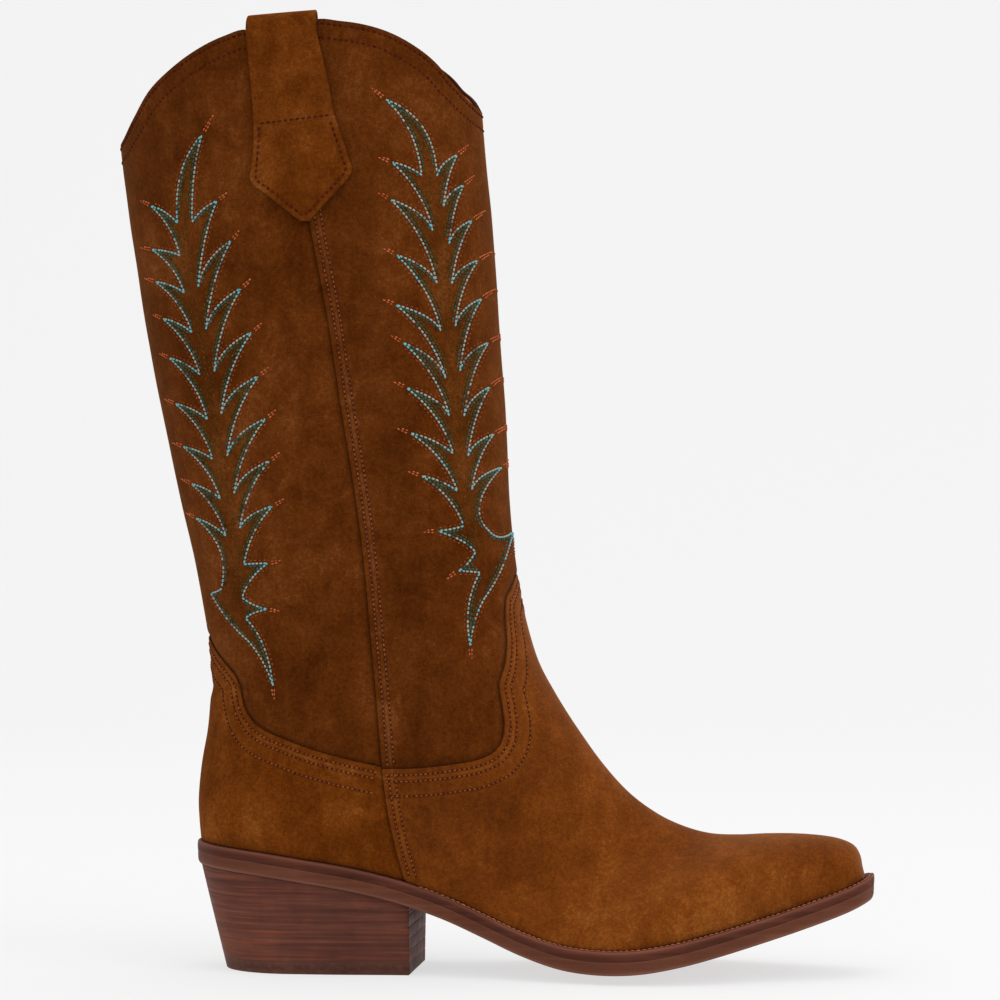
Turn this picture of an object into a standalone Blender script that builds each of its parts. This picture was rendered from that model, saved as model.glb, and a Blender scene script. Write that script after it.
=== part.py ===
"""Cowboy boot: a right-foot, pull-on, suede western boot with a stacked heel.

Metres, +Z up. +X points to the toe and -Y is the outer side of the foot. The ground is z = 0 and
the origin is the middle of the bounding box at ground level.

Every piece of the upper lies on one hand-drawn surface, skin(). It has two parameters:
  s    runs down the boot: 0 above the rim, 13 at the rear corner of the vamp, 24 at the toe tip
  psi  runs round it in degrees: 0 front, 90 outer side seam, 180 back, -90 inner side seam
Pieces are open sheets on that surface, some depth below it, made solid with Solidify. The sole
pieces share one outline and are stacked by their drop below the top of the welt.
The dimensions below are in millimetres and are turned into metres by M.
"""

import math

import bmesh
import bpy
import numpy as np
from mathutils import Vector

M = 0.001

# ---------------------------------------------------------------- driving dimensions (mm)
ORIGIN = (-16.38, 0.0)          # middle of the bounding box in the drawing's own x and y
LEATHER = 1.4                   # outer panels
LINING = 0.9
GAP = 0.35                      # between pieces that touch
LAP = LEATHER + GAP             # how far an overlapped edge is tucked under
LINING_DEPTH = LEATHER + 0.4
STIFF = 0.8                     # toe puff
COUNTER_STIFF = 1.0             # heel stiffener
STRAP = 1.8
STRAP_ARCH = 384.9              # height of the inside of the fold of a pull strap
STRAP_DROP = 1.9                # how much lower the fold is at its rear edge
BOW = 1.9                       # how far a pull strap stands off the shaft at the rim

WELT = 3.8
OUTSOLE = 5.2
SOLE_GAP = 0.3
FEATHER_GAP = 0.55              # from the welt up to the edge of the upper
INSOLE_TOP, INSOLE = -2.3, 2.0  # drop below the welt's top, and thickness
SOCK_TOP, SOCK = -3.9, 1.2
WELT_INNER = 8.0                # how far the welt reaches in under the upper
INSOLE_INSET = 4.9

LIFT_PITCH = 4.9                # stacked heel layers
TOP_LIFT = 4.6
LIFTS = 4
HEEL_FRONT = -48.0
HEEL_BACK_LOW, HEEL_BACK_HIGH = -126.6, -137.2
HEEL_HALF_LOW, HEEL_HALF_HIGH = 26.0, 31.6
HEEL_HIGH = 43.0
NAILS = [(-112, 0), (-104, 16), (-104, -16), (-66, 15), (-66, -15)]
NAIL_R, NAIL_HEAD_R, NAIL_CLEAR = 1.3, 2.8, 0.3
NAIL_TIP = 8.0

# Front, back and side-seam lines of the upper as (x, z), one point for each whole s.
FRONT = [(-23.5, 392), (-21, 342), (-17.3, 303), (-14.6, 265), (-11.8, 228), (-10.2, 194), (-7.8, 168),
         (-4.4, 147), (1, 128), (8.5, 113.5), (17.5, 99), (27.5, 85), (38.5, 73), (50, 64.6), (61, 59.3),
         (72, 56.3), (83.5, 55.7), (95, 56.2), (106, 56.3), (116, 55.6), (124, 54.2), (129.8, 51.6),
         (132.4, 47.5), (133.3, 43.0), (134.3, 39.1)]
BACK = [(-174.5, 392), (-171.3, 342), (-166.5, 303), (-160.8, 265), (-153.8, 228), (-146.6, 194),
        (-140, 166), (-134.9, 138), (-133.7, 118), (-134.6, 100), (-137, 84), (-138.2, 70), (-137.8, 60),
        (-137.2, 52.5)]
SEAM = [(-97.5, 392), (-91.5, 342), (-85.2, 303), (-78.2, 265), (-72.8, 228), (-67.6, 194), (-64.3, 166),
        (-62, 138), (-60, 115), (-58.6, 97), (-57.2, 81), (-55.2, 66), (-52.4, 52), (-49.1, 38.4)]
SEAM_HALF = [45, 45.8, 46, 45, 43, 40.8, 38.5, 36.6, 35.8, 35.5, 35.3, 34.4, 32.4, 29.2]
CORNER, LAST = 13, 24
FEATHER_X = [-49.1, -36, -6, 28, 58, 82, 100, 113.5, 122.5, 128.3, 131.8, 133.7]

WELT_TOP = [(-139, 52.2), (-111, 49.6), (-90, 46.4), (-70, 43.1), (-50, 38.2), (-34, 32.7), (-18, 25.9),
            (-2, 19.2), (14, 14.6), (30, 13), (46, 13.6), (62, 16.3), (78, 20.2), (94, 24.6), (110, 29.4),
            (125, 34.6), (139, 40.6)]
HALF_WIDTH = [(-138, 31.5), (-85, 31.6), (-65, 30.6), (-49, 29.2), (-25, 27.4), (0, 32), (20, 38.3),
              (35, 41.5), (48, 42.5), (62, 41), (78, 36), (92, 29.8), (105, 24.5), (115, 20.6), (124, 17.6),
              (135, 14.6)]
SHIFT = [(-140, 0), (-60, 0), (-20, -2.2), (10, -2.6), (40, -2), (75, 0), (105, 2.6), (135, 4.6)]
WELT_OUT = [(-140, 1.5), (-50, 1.6), (-10, 2.6), (30, 3.3), (90, 3.3), (140, 3.8)]
CROWN = [(-139, 0), (-50, 0), (-25, 1.2), (5, 3.2), (30, 3.6), (60, 3.3), (95, 2), (120, 0.8), (139, 0)]
HEEL_ROUND, TOE_ROUND = (-137.2, 32), (134.6, 8)

# Lines on the upper: psi -> s, used on both sides of the boot.
RIM = [(0, 0.84), (10, 0.8), (28, 0.6), (44, 0.385), (56, 0.262), (66, 0.206), (72, 0.19), (78, 0.176),
       (80.5, 0.186), (85, 0.284), (91, 0.292), (97, 0.284), (101, 0.252), (108, 0.293), (120, 0.414),
       (130, 0.545), (139, 0.68), (150, 0.895), (160, 1.045), (180, 1.12)]
VAMP_LINE = [(0, 6.3), (8, 6.42), (16, 6.6), (23, 6.84), (26, 7.15), (28, 7.48), (31, 7.78), (35, 8.08),
             (39, 8.32), (41.5, 8.52), (43, 8.85), (45, 9.3), (48, 9.7), (53, 10.03), (59, 10.15),
             (69, 10.12), (78, 10.03), (90, 9.82)]
COUNTER_LINE = [(90, 9.77), (101, 9.6), (112, 9.4), (121, 9.2), (129, 9.02), (135, 8.8), (139, 8.5),
                (142, 8.1), (144, 7.9), (148, 7.72), (154, 7.54), (162, 7.34), (170, 7.18), (180, 7.1)]
LINING_SPLIT = 8.6

# Pull strap: (left psi, left s, right psi, right s) from the pointed tab up to the rim.
STRAP_ROWS = [(92.4, 2.02, 89.5, 2.02), (96.2, 1.89, 84.6, 1.87), (100.6, 1.74, 78.1, 1.68),
              (104.7, 1.6, 73, 1.5), (103.9, 1.42, 73.5, 1.33), (102.5, 1.22, 74.8, 1.13),
              (101.5, 1.0, 76.3, 0.92), (101, 0.75, 77, 0.69), (100.7, 0.5, 78.2, 0.46),
              (100.6, 0.3, 79.2, 0.28)]

# ---------------------------------------------------------------- curves and the surface


def smooth_curve(points):
    """A function through the points, with slopes averaged between neighbours."""
    xs, ys = [p[0] for p in points], [p[1] for p in points]
    n = len(xs)
    step = [(ys[i + 1] - ys[i]) / (xs[i + 1] - xs[i]) for i in range(n - 1)]
    slope = [step[0]]
    for i in range(1, n - 1):
        before, after = xs[i] - xs[i - 1], xs[i + 1] - xs[i]
        slope.append((after * step[i - 1] + before * step[i]) / (before + after))
    slope.append(step[-1])

    def at(x):
        x = min(max(x, xs[0]), xs[-1])
        i = 0
        while i < n - 2 and x > xs[i + 1]:
            i += 1
        h = xs[i + 1] - xs[i]
        t = (x - xs[i]) / h
        return ((2 * t**3 - 3 * t * t + 1) * ys[i] + (t**3 - 2 * t * t + t) * h * slope[i]
                + (3 * t * t - 2 * t**3) * ys[i + 1] + (t**3 - t * t) * h * slope[i + 1])

    return at


def along(points, k):
    return smooth_curve([(i, p[k]) for i, p in enumerate(points)])


def smoothstep(t):
    t = min(max(t, 0.0), 1.0)
    return t * t * (3 - 2 * t)


def cap(t, power):
    """A rounded end: 0 at t = 0 and 1 from t = 1."""
    t = min(max(t, 0.0), 1.0)
    return (1 - (1 - t) ** power) ** (1 / power)


front_x, front_z = along(FRONT, 0), along(FRONT, 1)
back_x, back_z = along(BACK, 0), along(BACK, 1)
seam_x, seam_z = along(SEAM, 0), along(SEAM, 1)
seam_half = smooth_curve(list(enumerate(SEAM_HALF)))
feather_x = smooth_curve([(CORNER + i, x) for i, x in enumerate(FEATHER_X)])
welt_top, side_half = smooth_curve(WELT_TOP), smooth_curve(HALF_WIDTH)
shift, welt_out, crown = smooth_curve(SHIFT), smooth_curve(WELT_OUT), smooth_curve(CROWN)
rim, vamp_line, counter_line = smooth_curve(RIM), smooth_curve(VAMP_LINE), smooth_curve(COUNTER_LINE)
# How much fuller than an ellipse each level is, towards the front and towards the back.
front_full = smooth_curve([(0, 0.06), (5, 0.06), (8, 0.04), (11, 0), (13, 0.02), (15, 0.1), (18, 0.22),
                           (21, 0.3), (24, 0.3)])
back_full = smooth_curve([(0, 0.04), (6, 0.06), (9, 0.12), (13, 0.2)])


def feather_half(x):
    """Half-width of the upper where it meets the welt."""
    return (side_half(x) * cap((x - HEEL_ROUND[0]) / HEEL_ROUND[1], 2.0)
            * cap((TOE_ROUND[0] - x) / TOE_ROUND[1], 2.2))


def feather_z(x):
    return welt_top(x) + FEATHER_GAP


def side_line(s):
    """(x, z, half-width) of the side seam, and then of the feather line along the vamp."""
    if s <= CORNER:
        near = max(0.0, s - CORNER + 1)
        s = CORNER - (1 - near) ** 1.6 if near > 0 else s
        return seam_x(s), seam_z(s), seam_half(s)
    near = min(1.0, s - CORNER)
    s = CORNER + near**1.6 if near < 1 else s
    x = feather_x(s)
    return x, feather_z(x), feather_half(x)


def surface(s, psi):
    """A point of the outer surface of the upper, in mm."""
    psi = (psi + 180) % 360 - 180
    outer = -1 if psi >= 0 else 1
    a = abs(psi)
    ex, ez, half = side_line(s)
    u = math.sin(math.radians(abs(90 - a)))
    c = math.cos(math.radians(abs(90 - a)))
    if a <= 90:
        x, z = ex + (front_x(s) - ex) * u, ez + (front_z(s) - ez) * u
        y = half * c * (1 + front_full(s) * u * u)
    else:
        x, z = ex + (back_x(s) - ex) * u, ez + (back_z(s) - ez) * u
        y = half * c * (1 + back_full(s) * u * u)
        low = smoothstep((s - 9) / (CORNER - 9))
        if low > 0:
            corner_x = SEAM[-1][0]
            plan_x = corner_x + (HEEL_ROUND[0] - corner_x) * u
            y = y * (1 - low) + low * half / SEAM_HALF[-1] * feather_half(plan_x)
        if s > 11:
            # The bottom edge bends to the curve of the welt instead of a straight line.
            straight = feather_z(SEAM[-1][0]) + (feather_z(HEEL_ROUND[0]) - feather_z(SEAM[-1][0])) * u
            z += smoothstep((s - 11) / 2) * (feather_z(x) - straight)
    return np.array([x, outer * y + shift(x) * smoothstep((115 - z) / 60), z])


def skin(s, psi, depth=0.0):
    """surface() moved inward by depth, in mm."""
    p = surface(s, psi)
    if not depth:
        return p
    ds, low, high = 0.05, psi - 1, psi + 1
    end = CORNER if 90 < psi < 270 or psi < -90 else LAST
    if s > CORNER:
        low, high = max(low, -90), min(high, 90)
        s = min(s, LAST - 0.6)      # the very last row runs along the feather line
    down = surface(min(s + ds, end), psi) - surface(max(s - ds, 0), psi)
    round_ = surface(s, high) - surface(s, low)
    n = np.cross(down, round_)
    return p + n / np.linalg.norm(n) * depth


# ---------------------------------------------------------------- how deep each layer lies


def front_depth(s, psi):
    """The front shaft panel dips under the vamp along their lap."""
    a = abs(psi)
    return LAP * smoothstep((s - vamp_line(a) + 0.9) / 0.7) * (1 - smoothstep((a - 62) / 14))


def side_dip(psi):
    """Rear pieces dip under the front ones at the side seams."""
    a = 180 - abs(psi - 180)
    return 1 - smoothstep((a - 91) / 13)


def back_depth(s, psi):
    a = 180 - abs(psi - 180)
    under = smoothstep((s - counter_line(a) + 0.9) / 0.7) * smoothstep((a - 104) / 12)
    return LAP * (1 - (1 - side_dip(psi)) * (1 - under))


def counter_depth(s, psi):
    return LAP * side_dip(psi)


def lining_depth(s, psi):
    """The lining lies close behind the panels and steps in where two are lapped or stiffened."""
    if 90 < psi < 270:
        a = 180 - abs(psi - 180)
        seam = 1 - smoothstep((a - 106) / 10)
        lap = smoothstep((s - counter_line(a) + 1.6) / 0.7)
        toe = 0
    else:
        a = min(abs(psi), abs(360 - psi))
        seam = (1 - smoothstep((78 - a) / 12)) * (1 - smoothstep((s - 13.2) / 1.3))
        lap = 1 - smoothstep((abs(s - vamp_line(a)) - 1.0) / 0.8)
        toe = 0.66 * smoothstep((s - 16.8) / 1.2)
    return LINING_DEPTH + LAP * (1 - (1 - seam) * (1 - lap) * (1 - toe))


# ---------------------------------------------------------------- making objects

MATERIALS = {
    "suede": ((0.16, 0.055, 0.014, 1), 0.95, 0),
    "suede_strap": ((0.18, 0.062, 0.017, 1), 0.95, 0),
    "lining": ((0.62, 0.22, 0.045, 1), 0.6, 0),
    "fibre": ((0.45, 0.36, 0.24, 1), 0.9, 0),
    "cork": ((0.42, 0.25, 0.12, 1), 0.95, 0),
    "sole_leather": ((0.115, 0.03, 0.018, 1), 0.4, 0),
    "welt_leather": ((0.075, 0.018, 0.012, 1), 0.4, 0),
    "rubber": ((0.045, 0.018, 0.012, 1), 0.55, 0),
    "steel": ((0.55, 0.55, 0.56, 1), 0.35, 1),
}


def new_collection(name, hidden=False):
    made = bpy.data.collections.new(name)
    bpy.context.scene.collection.children.link(made)
    made.hide_render = hidden
    return made


def material(name, kind):
    colour, roughness, metallic = MATERIALS[kind]
    made = bpy.data.materials.new(name)
    made.use_nodes = True
    shader = made.node_tree.nodes["Principled BSDF"]
    shader.inputs["Base Color"].default_value = colour
    shader.inputs["Roughness"].default_value = roughness
    shader.inputs["Metallic"].default_value = metallic
    made.diffuse_color = colour
    return made


def add_mesh(name, points, faces, kind=None, cutter=False):
    """A mesh object from points in drawing mm, with its origin in the middle of them."""
    at = [Vector(((p[0] - ORIGIN[0]) * M, (p[1] - ORIGIN[1]) * M, p[2] * M)) for p in points]
    low = Vector([min(p[i] for p in at) for i in range(3)])
    high = Vector([max(p[i] for p in at) for i in range(3)])
    origin = Vector([round(v, 4) for v in (low + high) / 2])
    mesh = bpy.data.meshes.new(name)
    mesh.from_pydata([p - origin for p in at], [], faces)
    work = bmesh.new()
    work.from_mesh(mesh)
    bmesh.ops.remove_doubles(work, verts=work.verts, dist=1e-6)
    bmesh.ops.dissolve_degenerate(work, edges=work.edges, dist=1e-7)
    work.to_mesh(mesh)
    work.free()
    obj = bpy.data.objects.new(name, mesh)
    obj.location = origin
    if cutter:
        obj.display_type, obj.hide_render = "WIRE", True
        cutters.objects.link(obj)
    else:
        mesh.materials.append(material(name, kind))
        boot.objects.link(obj)
        obj.parent = root
    return obj


def turn_outward(obj):
    work = bmesh.new()
    work.from_mesh(obj.data)
    bmesh.ops.recalc_face_normals(work, faces=work.faces)
    work.to_mesh(obj.data)
    work.free()


def solidify(obj, thickness, offset=-1.0):
    made = obj.modifiers.new("Thickness", "SOLIDIFY")
    made.thickness, made.offset = thickness * M, offset
    made.use_even_offset = False
    made.use_quality_normals = True
    return obj


def cut(obj, cutter):
    made = obj.modifiers.new("Cut", "BOOLEAN")
    made.operation, made.solver, made.object = "DIFFERENCE", "EXACT", cutter
    return obj


def grid_faces(rows, columns):
    return [(r * columns + c, r * columns + c + 1, (r + 1) * columns + c + 1, (r + 1) * columns + c)
            for r in range(rows - 1) for c in range(columns - 1)]


def sheet(name, rows_at, psis, depth, thickness, kind):
    """An open grid on the surface, one column for each psi, made solid inward."""
    columns = [[skin(s, psi, depth(s, psi)) for s in rows_at(psi)] for psi in psis]
    rows = len(columns[0])
    points = [columns[c][r] for r in range(rows) for c in range(len(psis))]
    obj = add_mesh(name, points, grid_faces(rows, len(psis)), kind)
    return solidify(obj, thickness)


def between(start, end, count):
    return [start + (end - start) * i / count for i in range(count + 1)]


# ---------------------------------------------------------------- scene

for old in list(bpy.data.objects):
    bpy.data.objects.remove(old, do_unlink=True)

boot = new_collection("cowboy_boot")
cutters = new_collection("cutters", hidden=True)
root = bpy.data.objects.new("boot_origin", None)
root.empty_display_size = 0.05
boot.objects.link(root)

FRONT_PSI = [-90, -85, -80, -76, -66, -56, -48, -43, -36, -28, -23, -12, 0, 12, 23, 28, 36, 43, 48, 56,
             66, 76, 80, 85, 90]
BACK_PSI = [90, 95, 102, 112, 122, 132, 142, 154, 167, 180, 193, 206, 218, 228, 238, 248, 258, 265, 270]
TUCK_PSI = [80, 85] + BACK_PSI + [275, 280]
FOOT_S = [10.6, 11.4, 12.2, 13, 13.6, 14.2, 14.7, 15.2, 15.7, 16.2, 16.7, 17.3, 17.9, 18.5, 19.2, 20, 20.7,
          21.3, 22, 22.7, 23.3, 24]
FOOT_CORNER = FOOT_S.index(13)


def spread(start, end):
    """Rows down the shaft, closer together towards the ankle."""
    return [start + (end - start) * (1 - (1 - i / 14) ** 1.35) for i in range(15)]


def fold(psi):
    """0..180 measured from the front, for lines that are the same on both sides."""
    return abs((psi + 180) % 360 - 180)


def rim_line(psi):
    """The rim, which stands a little higher at the front of the inner side."""
    turned = (psi + 180) % 360 - 180
    return rim(fold(psi)) - 0.022 * math.exp(-((turned + 27) / 15) ** 2)


# ---------------------------------------------------------------- upper: outer panels


def front_shaft_rows(psi):
    a = fold(psi)
    low = vamp_line(a) - 0.04 + 0.28 * (1 - smoothstep((a - 50) / 10))
    return spread(rim_line(psi), low)


def back_shaft_rows(psi):
    a = fold(psi)
    low = counter_line(max(a, 90)) - 0.05 + 0.41 * smoothstep((a - 116) / 12)
    return spread(rim_line(psi), low)


def vamp_rows(psi):
    return between(vamp_line(fold(psi)), FOOT_S[0], 4) + FOOT_S[1:]


def counter_rows(psi):
    a = fold(psi)
    top = counter_line(max(a, 90)) + (0.08 if a < 90 else 0)
    return between(top, CORNER, 10)


sheet("front_shaft_panel", front_shaft_rows, FRONT_PSI, front_depth, LEATHER, "suede")
sheet("back_shaft_panel", back_shaft_rows, TUCK_PSI, back_depth, LEATHER, "suede")
sheet("vamp", vamp_rows, FRONT_PSI, lambda s, psi: 0.0, LEATHER, "suede")
sheet("heel_counter_cover", counter_rows, TUCK_PSI, counter_depth, LEATHER, "suede")

# ---------------------------------------------------------------- upper: stiffeners and lining

PUFF_S = [s for s in FOOT_S if 18.4 < s < 24]
sheet("toe_puff", lambda psi: PUFF_S, [p for p in FRONT_PSI if abs(p) < 90],
      lambda s, psi: LAP, STIFF, "fibre")
sheet("heel_stiffener", lambda psi: between(counter_line(fold(psi)) + 0.6, CORNER - 0.02, 8),
      [p for p in BACK_PSI if 108 <= p <= 252], lambda s, psi: LAP, COUNTER_STIFF, "fibre")

FRONT_LINE_PSI = [-89.6] + FRONT_PSI[1:-1] + [89.6]
BACK_LINE_PSI = [90.4] + BACK_PSI[1:-1] + [269.6]
sheet("front_shaft_lining", lambda psi: spread(rim_line(psi) + 0.02, LINING_SPLIT - 0.02),
      FRONT_LINE_PSI, lining_depth, LINING, "lining")
sheet("back_shaft_lining", lambda psi: spread(rim_line(psi) + 0.02, LINING_SPLIT - 0.02),
      BACK_LINE_PSI, lining_depth, LINING, "lining")
sheet("vamp_lining", lambda psi: between(LINING_SPLIT, FOOT_S[0], 3) + FOOT_S[1:],
      FRONT_LINE_PSI, lining_depth, LINING, "lining")
sheet("counter_lining", lambda psi: between(LINING_SPLIT, CORNER, 8), BACK_LINE_PSI,
      lining_depth, LINING, "lining")

# ---------------------------------------------------------------- pull straps


def pull_strap(name, side):
    """A leather strip sewn flat outside and inside, folded over the rim with room for a finger."""
    across = 7
    rows = []
    for left, s_left, right, s_right in STRAP_ROWS:
        row = []
        for q in between(0, 1, across):
            s = s_left + (s_right - s_left) * q
            bow = BOW * smoothstep((1.0 - s) / 0.8)
            row.append(skin(s, side * (left + (right - left) * q), -GAP - 0.05 - bow))
        rows.append(row)
    inside = []
    for left, s_left, right, s_right in STRAP_ROWS[:5:-1]:
        row = []
        for q in between(0, 1, across):
            s = s_left + (s_right - s_left) * q
            psi = side * (left + (right - left) * q)
            bow = BOW * smoothstep((1.0 - s) / 0.8)
            psi_in = psi if psi >= 0 else psi + 360
            row.append(skin(s, psi, lining_depth(s, psi_in) + LINING + GAP + 0.1 + bow))
        inside.append(row)
    fold_rows = []
    for q in between(0, 1, 10)[1:-1]:
        wide = math.copysign(abs(math.cos(math.pi * q)) ** 0.6, 0.5 - q)
        row = []
        for c in range(across + 1):
            a, b = rows[-1][c], inside[0][c]
            middle, reach = (a + b) / 2, (a - b) / 2
            lift = STRAP_ARCH - STRAP_DROP * (1 - c / across) - middle[2]
            row.append(middle + reach * wide + np.array([0, 0, lift * math.sin(math.pi * q) ** 0.6]))
        fold_rows.append(row)
    rows += fold_rows + inside
    points = [p for row in rows for p in row]
    faces = grid_faces(len(rows), across + 1)
    if side < 0:
        faces = [f[::-1] for f in faces]
    return solidify(add_mesh(name, points, faces, "suede_strap"), STRAP, offset=1.0)


pull_strap("pull_strap_lateral", 1)
pull_strap("pull_strap_medial", -1)

# ---------------------------------------------------------------- sole


def feather_loop():
    """The closed outline where the upper meets the welt, with its outward direction in plan."""
    loop = [surface(s, 90) for s in FOOT_S[FOOT_CORNER:-1]]
    loop += [surface(LAST, psi) for psi in FRONT_PSI[::-1]]
    loop += [surface(s, -90) for s in FOOT_S[-2:FOOT_CORNER - 1:-1]]
    loop += [surface(CORNER, psi) for psi in BACK_PSI[-2:0:-1]]
    flat = [np.array([p[0], p[1]]) for p in loop]
    out = []
    for i, p in enumerate(flat):
        d = flat[(i + 1) % len(flat)] - flat[i - 1]
        n = np.array([d[1], -d[0]])
        out.append((p, n / np.linalg.norm(n)))
    return out


LOOP = feather_loop()


def sole_z(x, y, drop):
    """Height of a layer of the sole that lies drop below the welt's top edge."""
    v = min(1.0, abs(y - shift(x)) / (side_half(x) + 3) / 0.9)
    return welt_top(x) - drop - crown(x) * (1 - v * v) ** 2


def spine(p):
    x = min(max(p[0], -104), 112)
    return np.array([x, shift(x)])


def ring(offset):
    """The outline moved outward, or inward towards the spine when offset is negative."""
    made = []
    for p, n in LOOP:
        reach = offset(p[0]) if callable(offset) else offset
        if reach < 0:
            n = (p - spine(p)) / np.linalg.norm(p - spine(p))
        made.append(p + n * reach)
    return made


def plate(name, offset, top, bottom, kind, hole=None):
    """A layer of the sole, full or as a ring, between two drops below the welt's top."""
    edge = ring(offset)
    n = len(edge)
    if hole is None:
        rings = [[p + (spine(at) - p) * q for p, (at, _) in zip(edge, LOOP)] for q in (0, 0.3, 0.65, 1)]
    else:
        inner = ring(hole)
        rings = [edge, [(p + q) / 2 for p, q in zip(edge, inner)], inner]
    points, faces = [], []
    for drop in (top, bottom):
        for loop in rings:
            points += [(p[0], p[1], sole_z(p[0], p[1], drop)) for p in loop]
    layers = len(rings)
    for side in range(2):
        base = side * layers * n
        for r in range(layers - 1):
            for i in range(n):
                j = (i + 1) % n
                face = (base + r * n + i, base + r * n + j, base + (r + 1) * n + j, base + (r + 1) * n + i)
                faces.append(face if side == 0 else face[::-1])
    for r in (0,) if hole is None else (0, layers - 1):
        for i in range(n):
            j = (i + 1) % n
            face = (r * n + i, layers * n + r * n + i, layers * n + r * n + j, r * n + j)
            faces.append(face if r == 0 else face[::-1])
    obj = add_mesh(name, points, faces, kind)
    turn_outward(obj)
    return obj


OUTSOLE_TOP = WELT + SOLE_GAP
OUTSOLE_LOW = OUTSOLE_TOP + OUTSOLE
welt = plate("welt", welt_out, 0, WELT, "welt_leather", hole=-WELT_INNER)
outsole = plate("outsole", lambda x: welt_out(x) - 0.2, OUTSOLE_TOP, OUTSOLE_LOW, "sole_leather")
cork = plate("cork_filler", -WELT_INNER - 0.5, 0.2, WELT - 0.1, "cork")
insole = plate("insole_board", -INSOLE_INSET, INSOLE_TOP, INSOLE_TOP + INSOLE, "fibre")
plate("sock_liner", -INSOLE_INSET - 0.3, SOCK_TOP, SOCK_TOP + SOCK, "lining")


def bar(name, start, end, half, top, bottom, kind=None, cutter=False):
    """A strip along the middle of the sole, following its curve."""
    points, faces = [], []
    stations = between(start, end, 10)
    for i, x in enumerate(stations):
        for y in (-half, half):
            for drop in (top, bottom):
                points.append((x, shift(x) + y, sole_z(x, shift(x), drop)))
    for i in range(len(stations) - 1):
        k = 4 * i
        for a, b in ((0, 1), (1, 3), (3, 2), (2, 0)):
            faces.append((k + a, k + b, k + 4 + b, k + 4 + a))
    k = 4 * (len(stations) - 1)
    faces += [(0, 2, 3, 1), (k, k + 1, k + 3, k + 2)]
    obj = add_mesh(name, points, faces, kind, cutter)
    turn_outward(obj)
    return obj


bar("shank", -96, -20, 7, 0.9, 2.5, "steel")
cut(cork, bar("cut_shank", -96.5, -19.5, 7.4, -2, 8, cutter=True))

# ---------------------------------------------------------------- heel


def heel_point(q, z, side):
    """A point of the heel's outline at height z: q runs from the back, 0, to the breast, 1."""
    t = z / HEEL_HIGH
    back = HEEL_BACK_LOW + (HEEL_BACK_HIGH - HEEL_BACK_LOW) * t
    half = HEEL_HALF_LOW + (HEEL_HALF_HIGH - HEEL_HALF_LOW) * t
    x = back + (HEEL_FRONT - back) * q
    narrow = 1 - 0.07 * smoothstep((x + 85) / 37)
    return x, side * half * cap((x - back) / 30, 2.0) * narrow


def heel_layer(name, low, high, kind):
    """One layer of the heel. low and high are heights, or functions of x."""
    stations = [(i / 14) ** 1.8 for i in range(15)]
    points, faces = [], []
    for q in stations:
        for level in (low, high):
            flat = level if not callable(level) else level(HEEL_BACK_HIGH + (HEEL_FRONT - HEEL_BACK_HIGH) * q)
            for side in (-1, 1):
                x, y = heel_point(q, flat, side)
                z = level(x) if callable(level) else level
                points.append((x, y, z))
    for i in range(len(stations) - 1):
        k = 4 * i
        for a, b in ((0, 1), (1, 3), (3, 2), (2, 0)):
            faces.append((k + a, k + b, k + 4 + b, k + 4 + a))
    k = 4 * (len(stations) - 1)
    faces.append((k, k + 1, k + 3, k + 2))
    obj = add_mesh(name, points, faces, kind)
    turn_outward(obj)
    return obj


def seat(x):
    return welt_top(x) - OUTSOLE_LOW - SOLE_GAP


def wedge_line(x):
    """The slope of the highest full lift, part way to the slope of the seat."""
    base = TOP_LIFT + SOLE_GAP + LIFTS * LIFT_PITCH
    return base + 0.42 * (seat(x) - base)


top_lift = heel_layer("top_lift", 0.0, TOP_LIFT, "rubber")
layers = []
for k in range(LIFTS):
    z = TOP_LIFT + SOLE_GAP + k * LIFT_PITCH
    layers.append(heel_layer(f"heel_lift_{k + 1}", z, z + LIFT_PITCH - SOLE_GAP, "sole_leather"))
base = TOP_LIFT + SOLE_GAP + LIFTS * LIFT_PITCH
layers.append(heel_layer(f"heel_lift_{LIFTS + 1}", base, lambda x: wedge_line(x) - SOLE_GAP, "sole_leather"))
layers.append(heel_layer("heel_wedge", wedge_line, seat, "sole_leather"))


def rod(low, high, x, y, radius, sides=16):
    points = [(x + radius * math.cos(2 * math.pi * i / sides), y + radius * math.sin(2 * math.pi * i / sides), z)
              for z in (low, high) for i in range(sides)]
    faces = [(i, (i + 1) % sides, sides + (i + 1) % sides, sides + i) for i in range(sides)]
    faces += [tuple(range(sides))[::-1], tuple(range(sides, 2 * sides))]
    return points, faces


def joined(rods):
    points, faces = [], []
    for p, f in rods:
        faces += [tuple(i + len(points) for i in face) for face in f]
        points += p
    return points, faces


def nail(name, x, y):
    """A flat-headed nail: its head rests in the insole board."""
    head_top = sole_z(x, y, INSOLE_TOP + 0.5)
    head_low = head_top - 1.0
    sides = 16
    profile = [(NAIL_R, NAIL_TIP), (NAIL_R, head_low), (NAIL_HEAD_R, head_low), (NAIL_HEAD_R, head_top)]
    points = [(x + r * math.cos(2 * math.pi * i / sides), y + r * math.sin(2 * math.pi * i / sides), z)
              for r, z in profile for i in range(sides)]
    faces = [(k * sides + i, k * sides + (i + 1) % sides, (k + 1) * sides + (i + 1) % sides, (k + 1) * sides + i)
             for k in range(3) for i in range(sides)]
    faces += [tuple(range(sides))[::-1], tuple(range(3 * sides, 4 * sides))]
    obj = add_mesh(name, points, faces, "steel")
    turn_outward(obj)
    return obj


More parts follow.
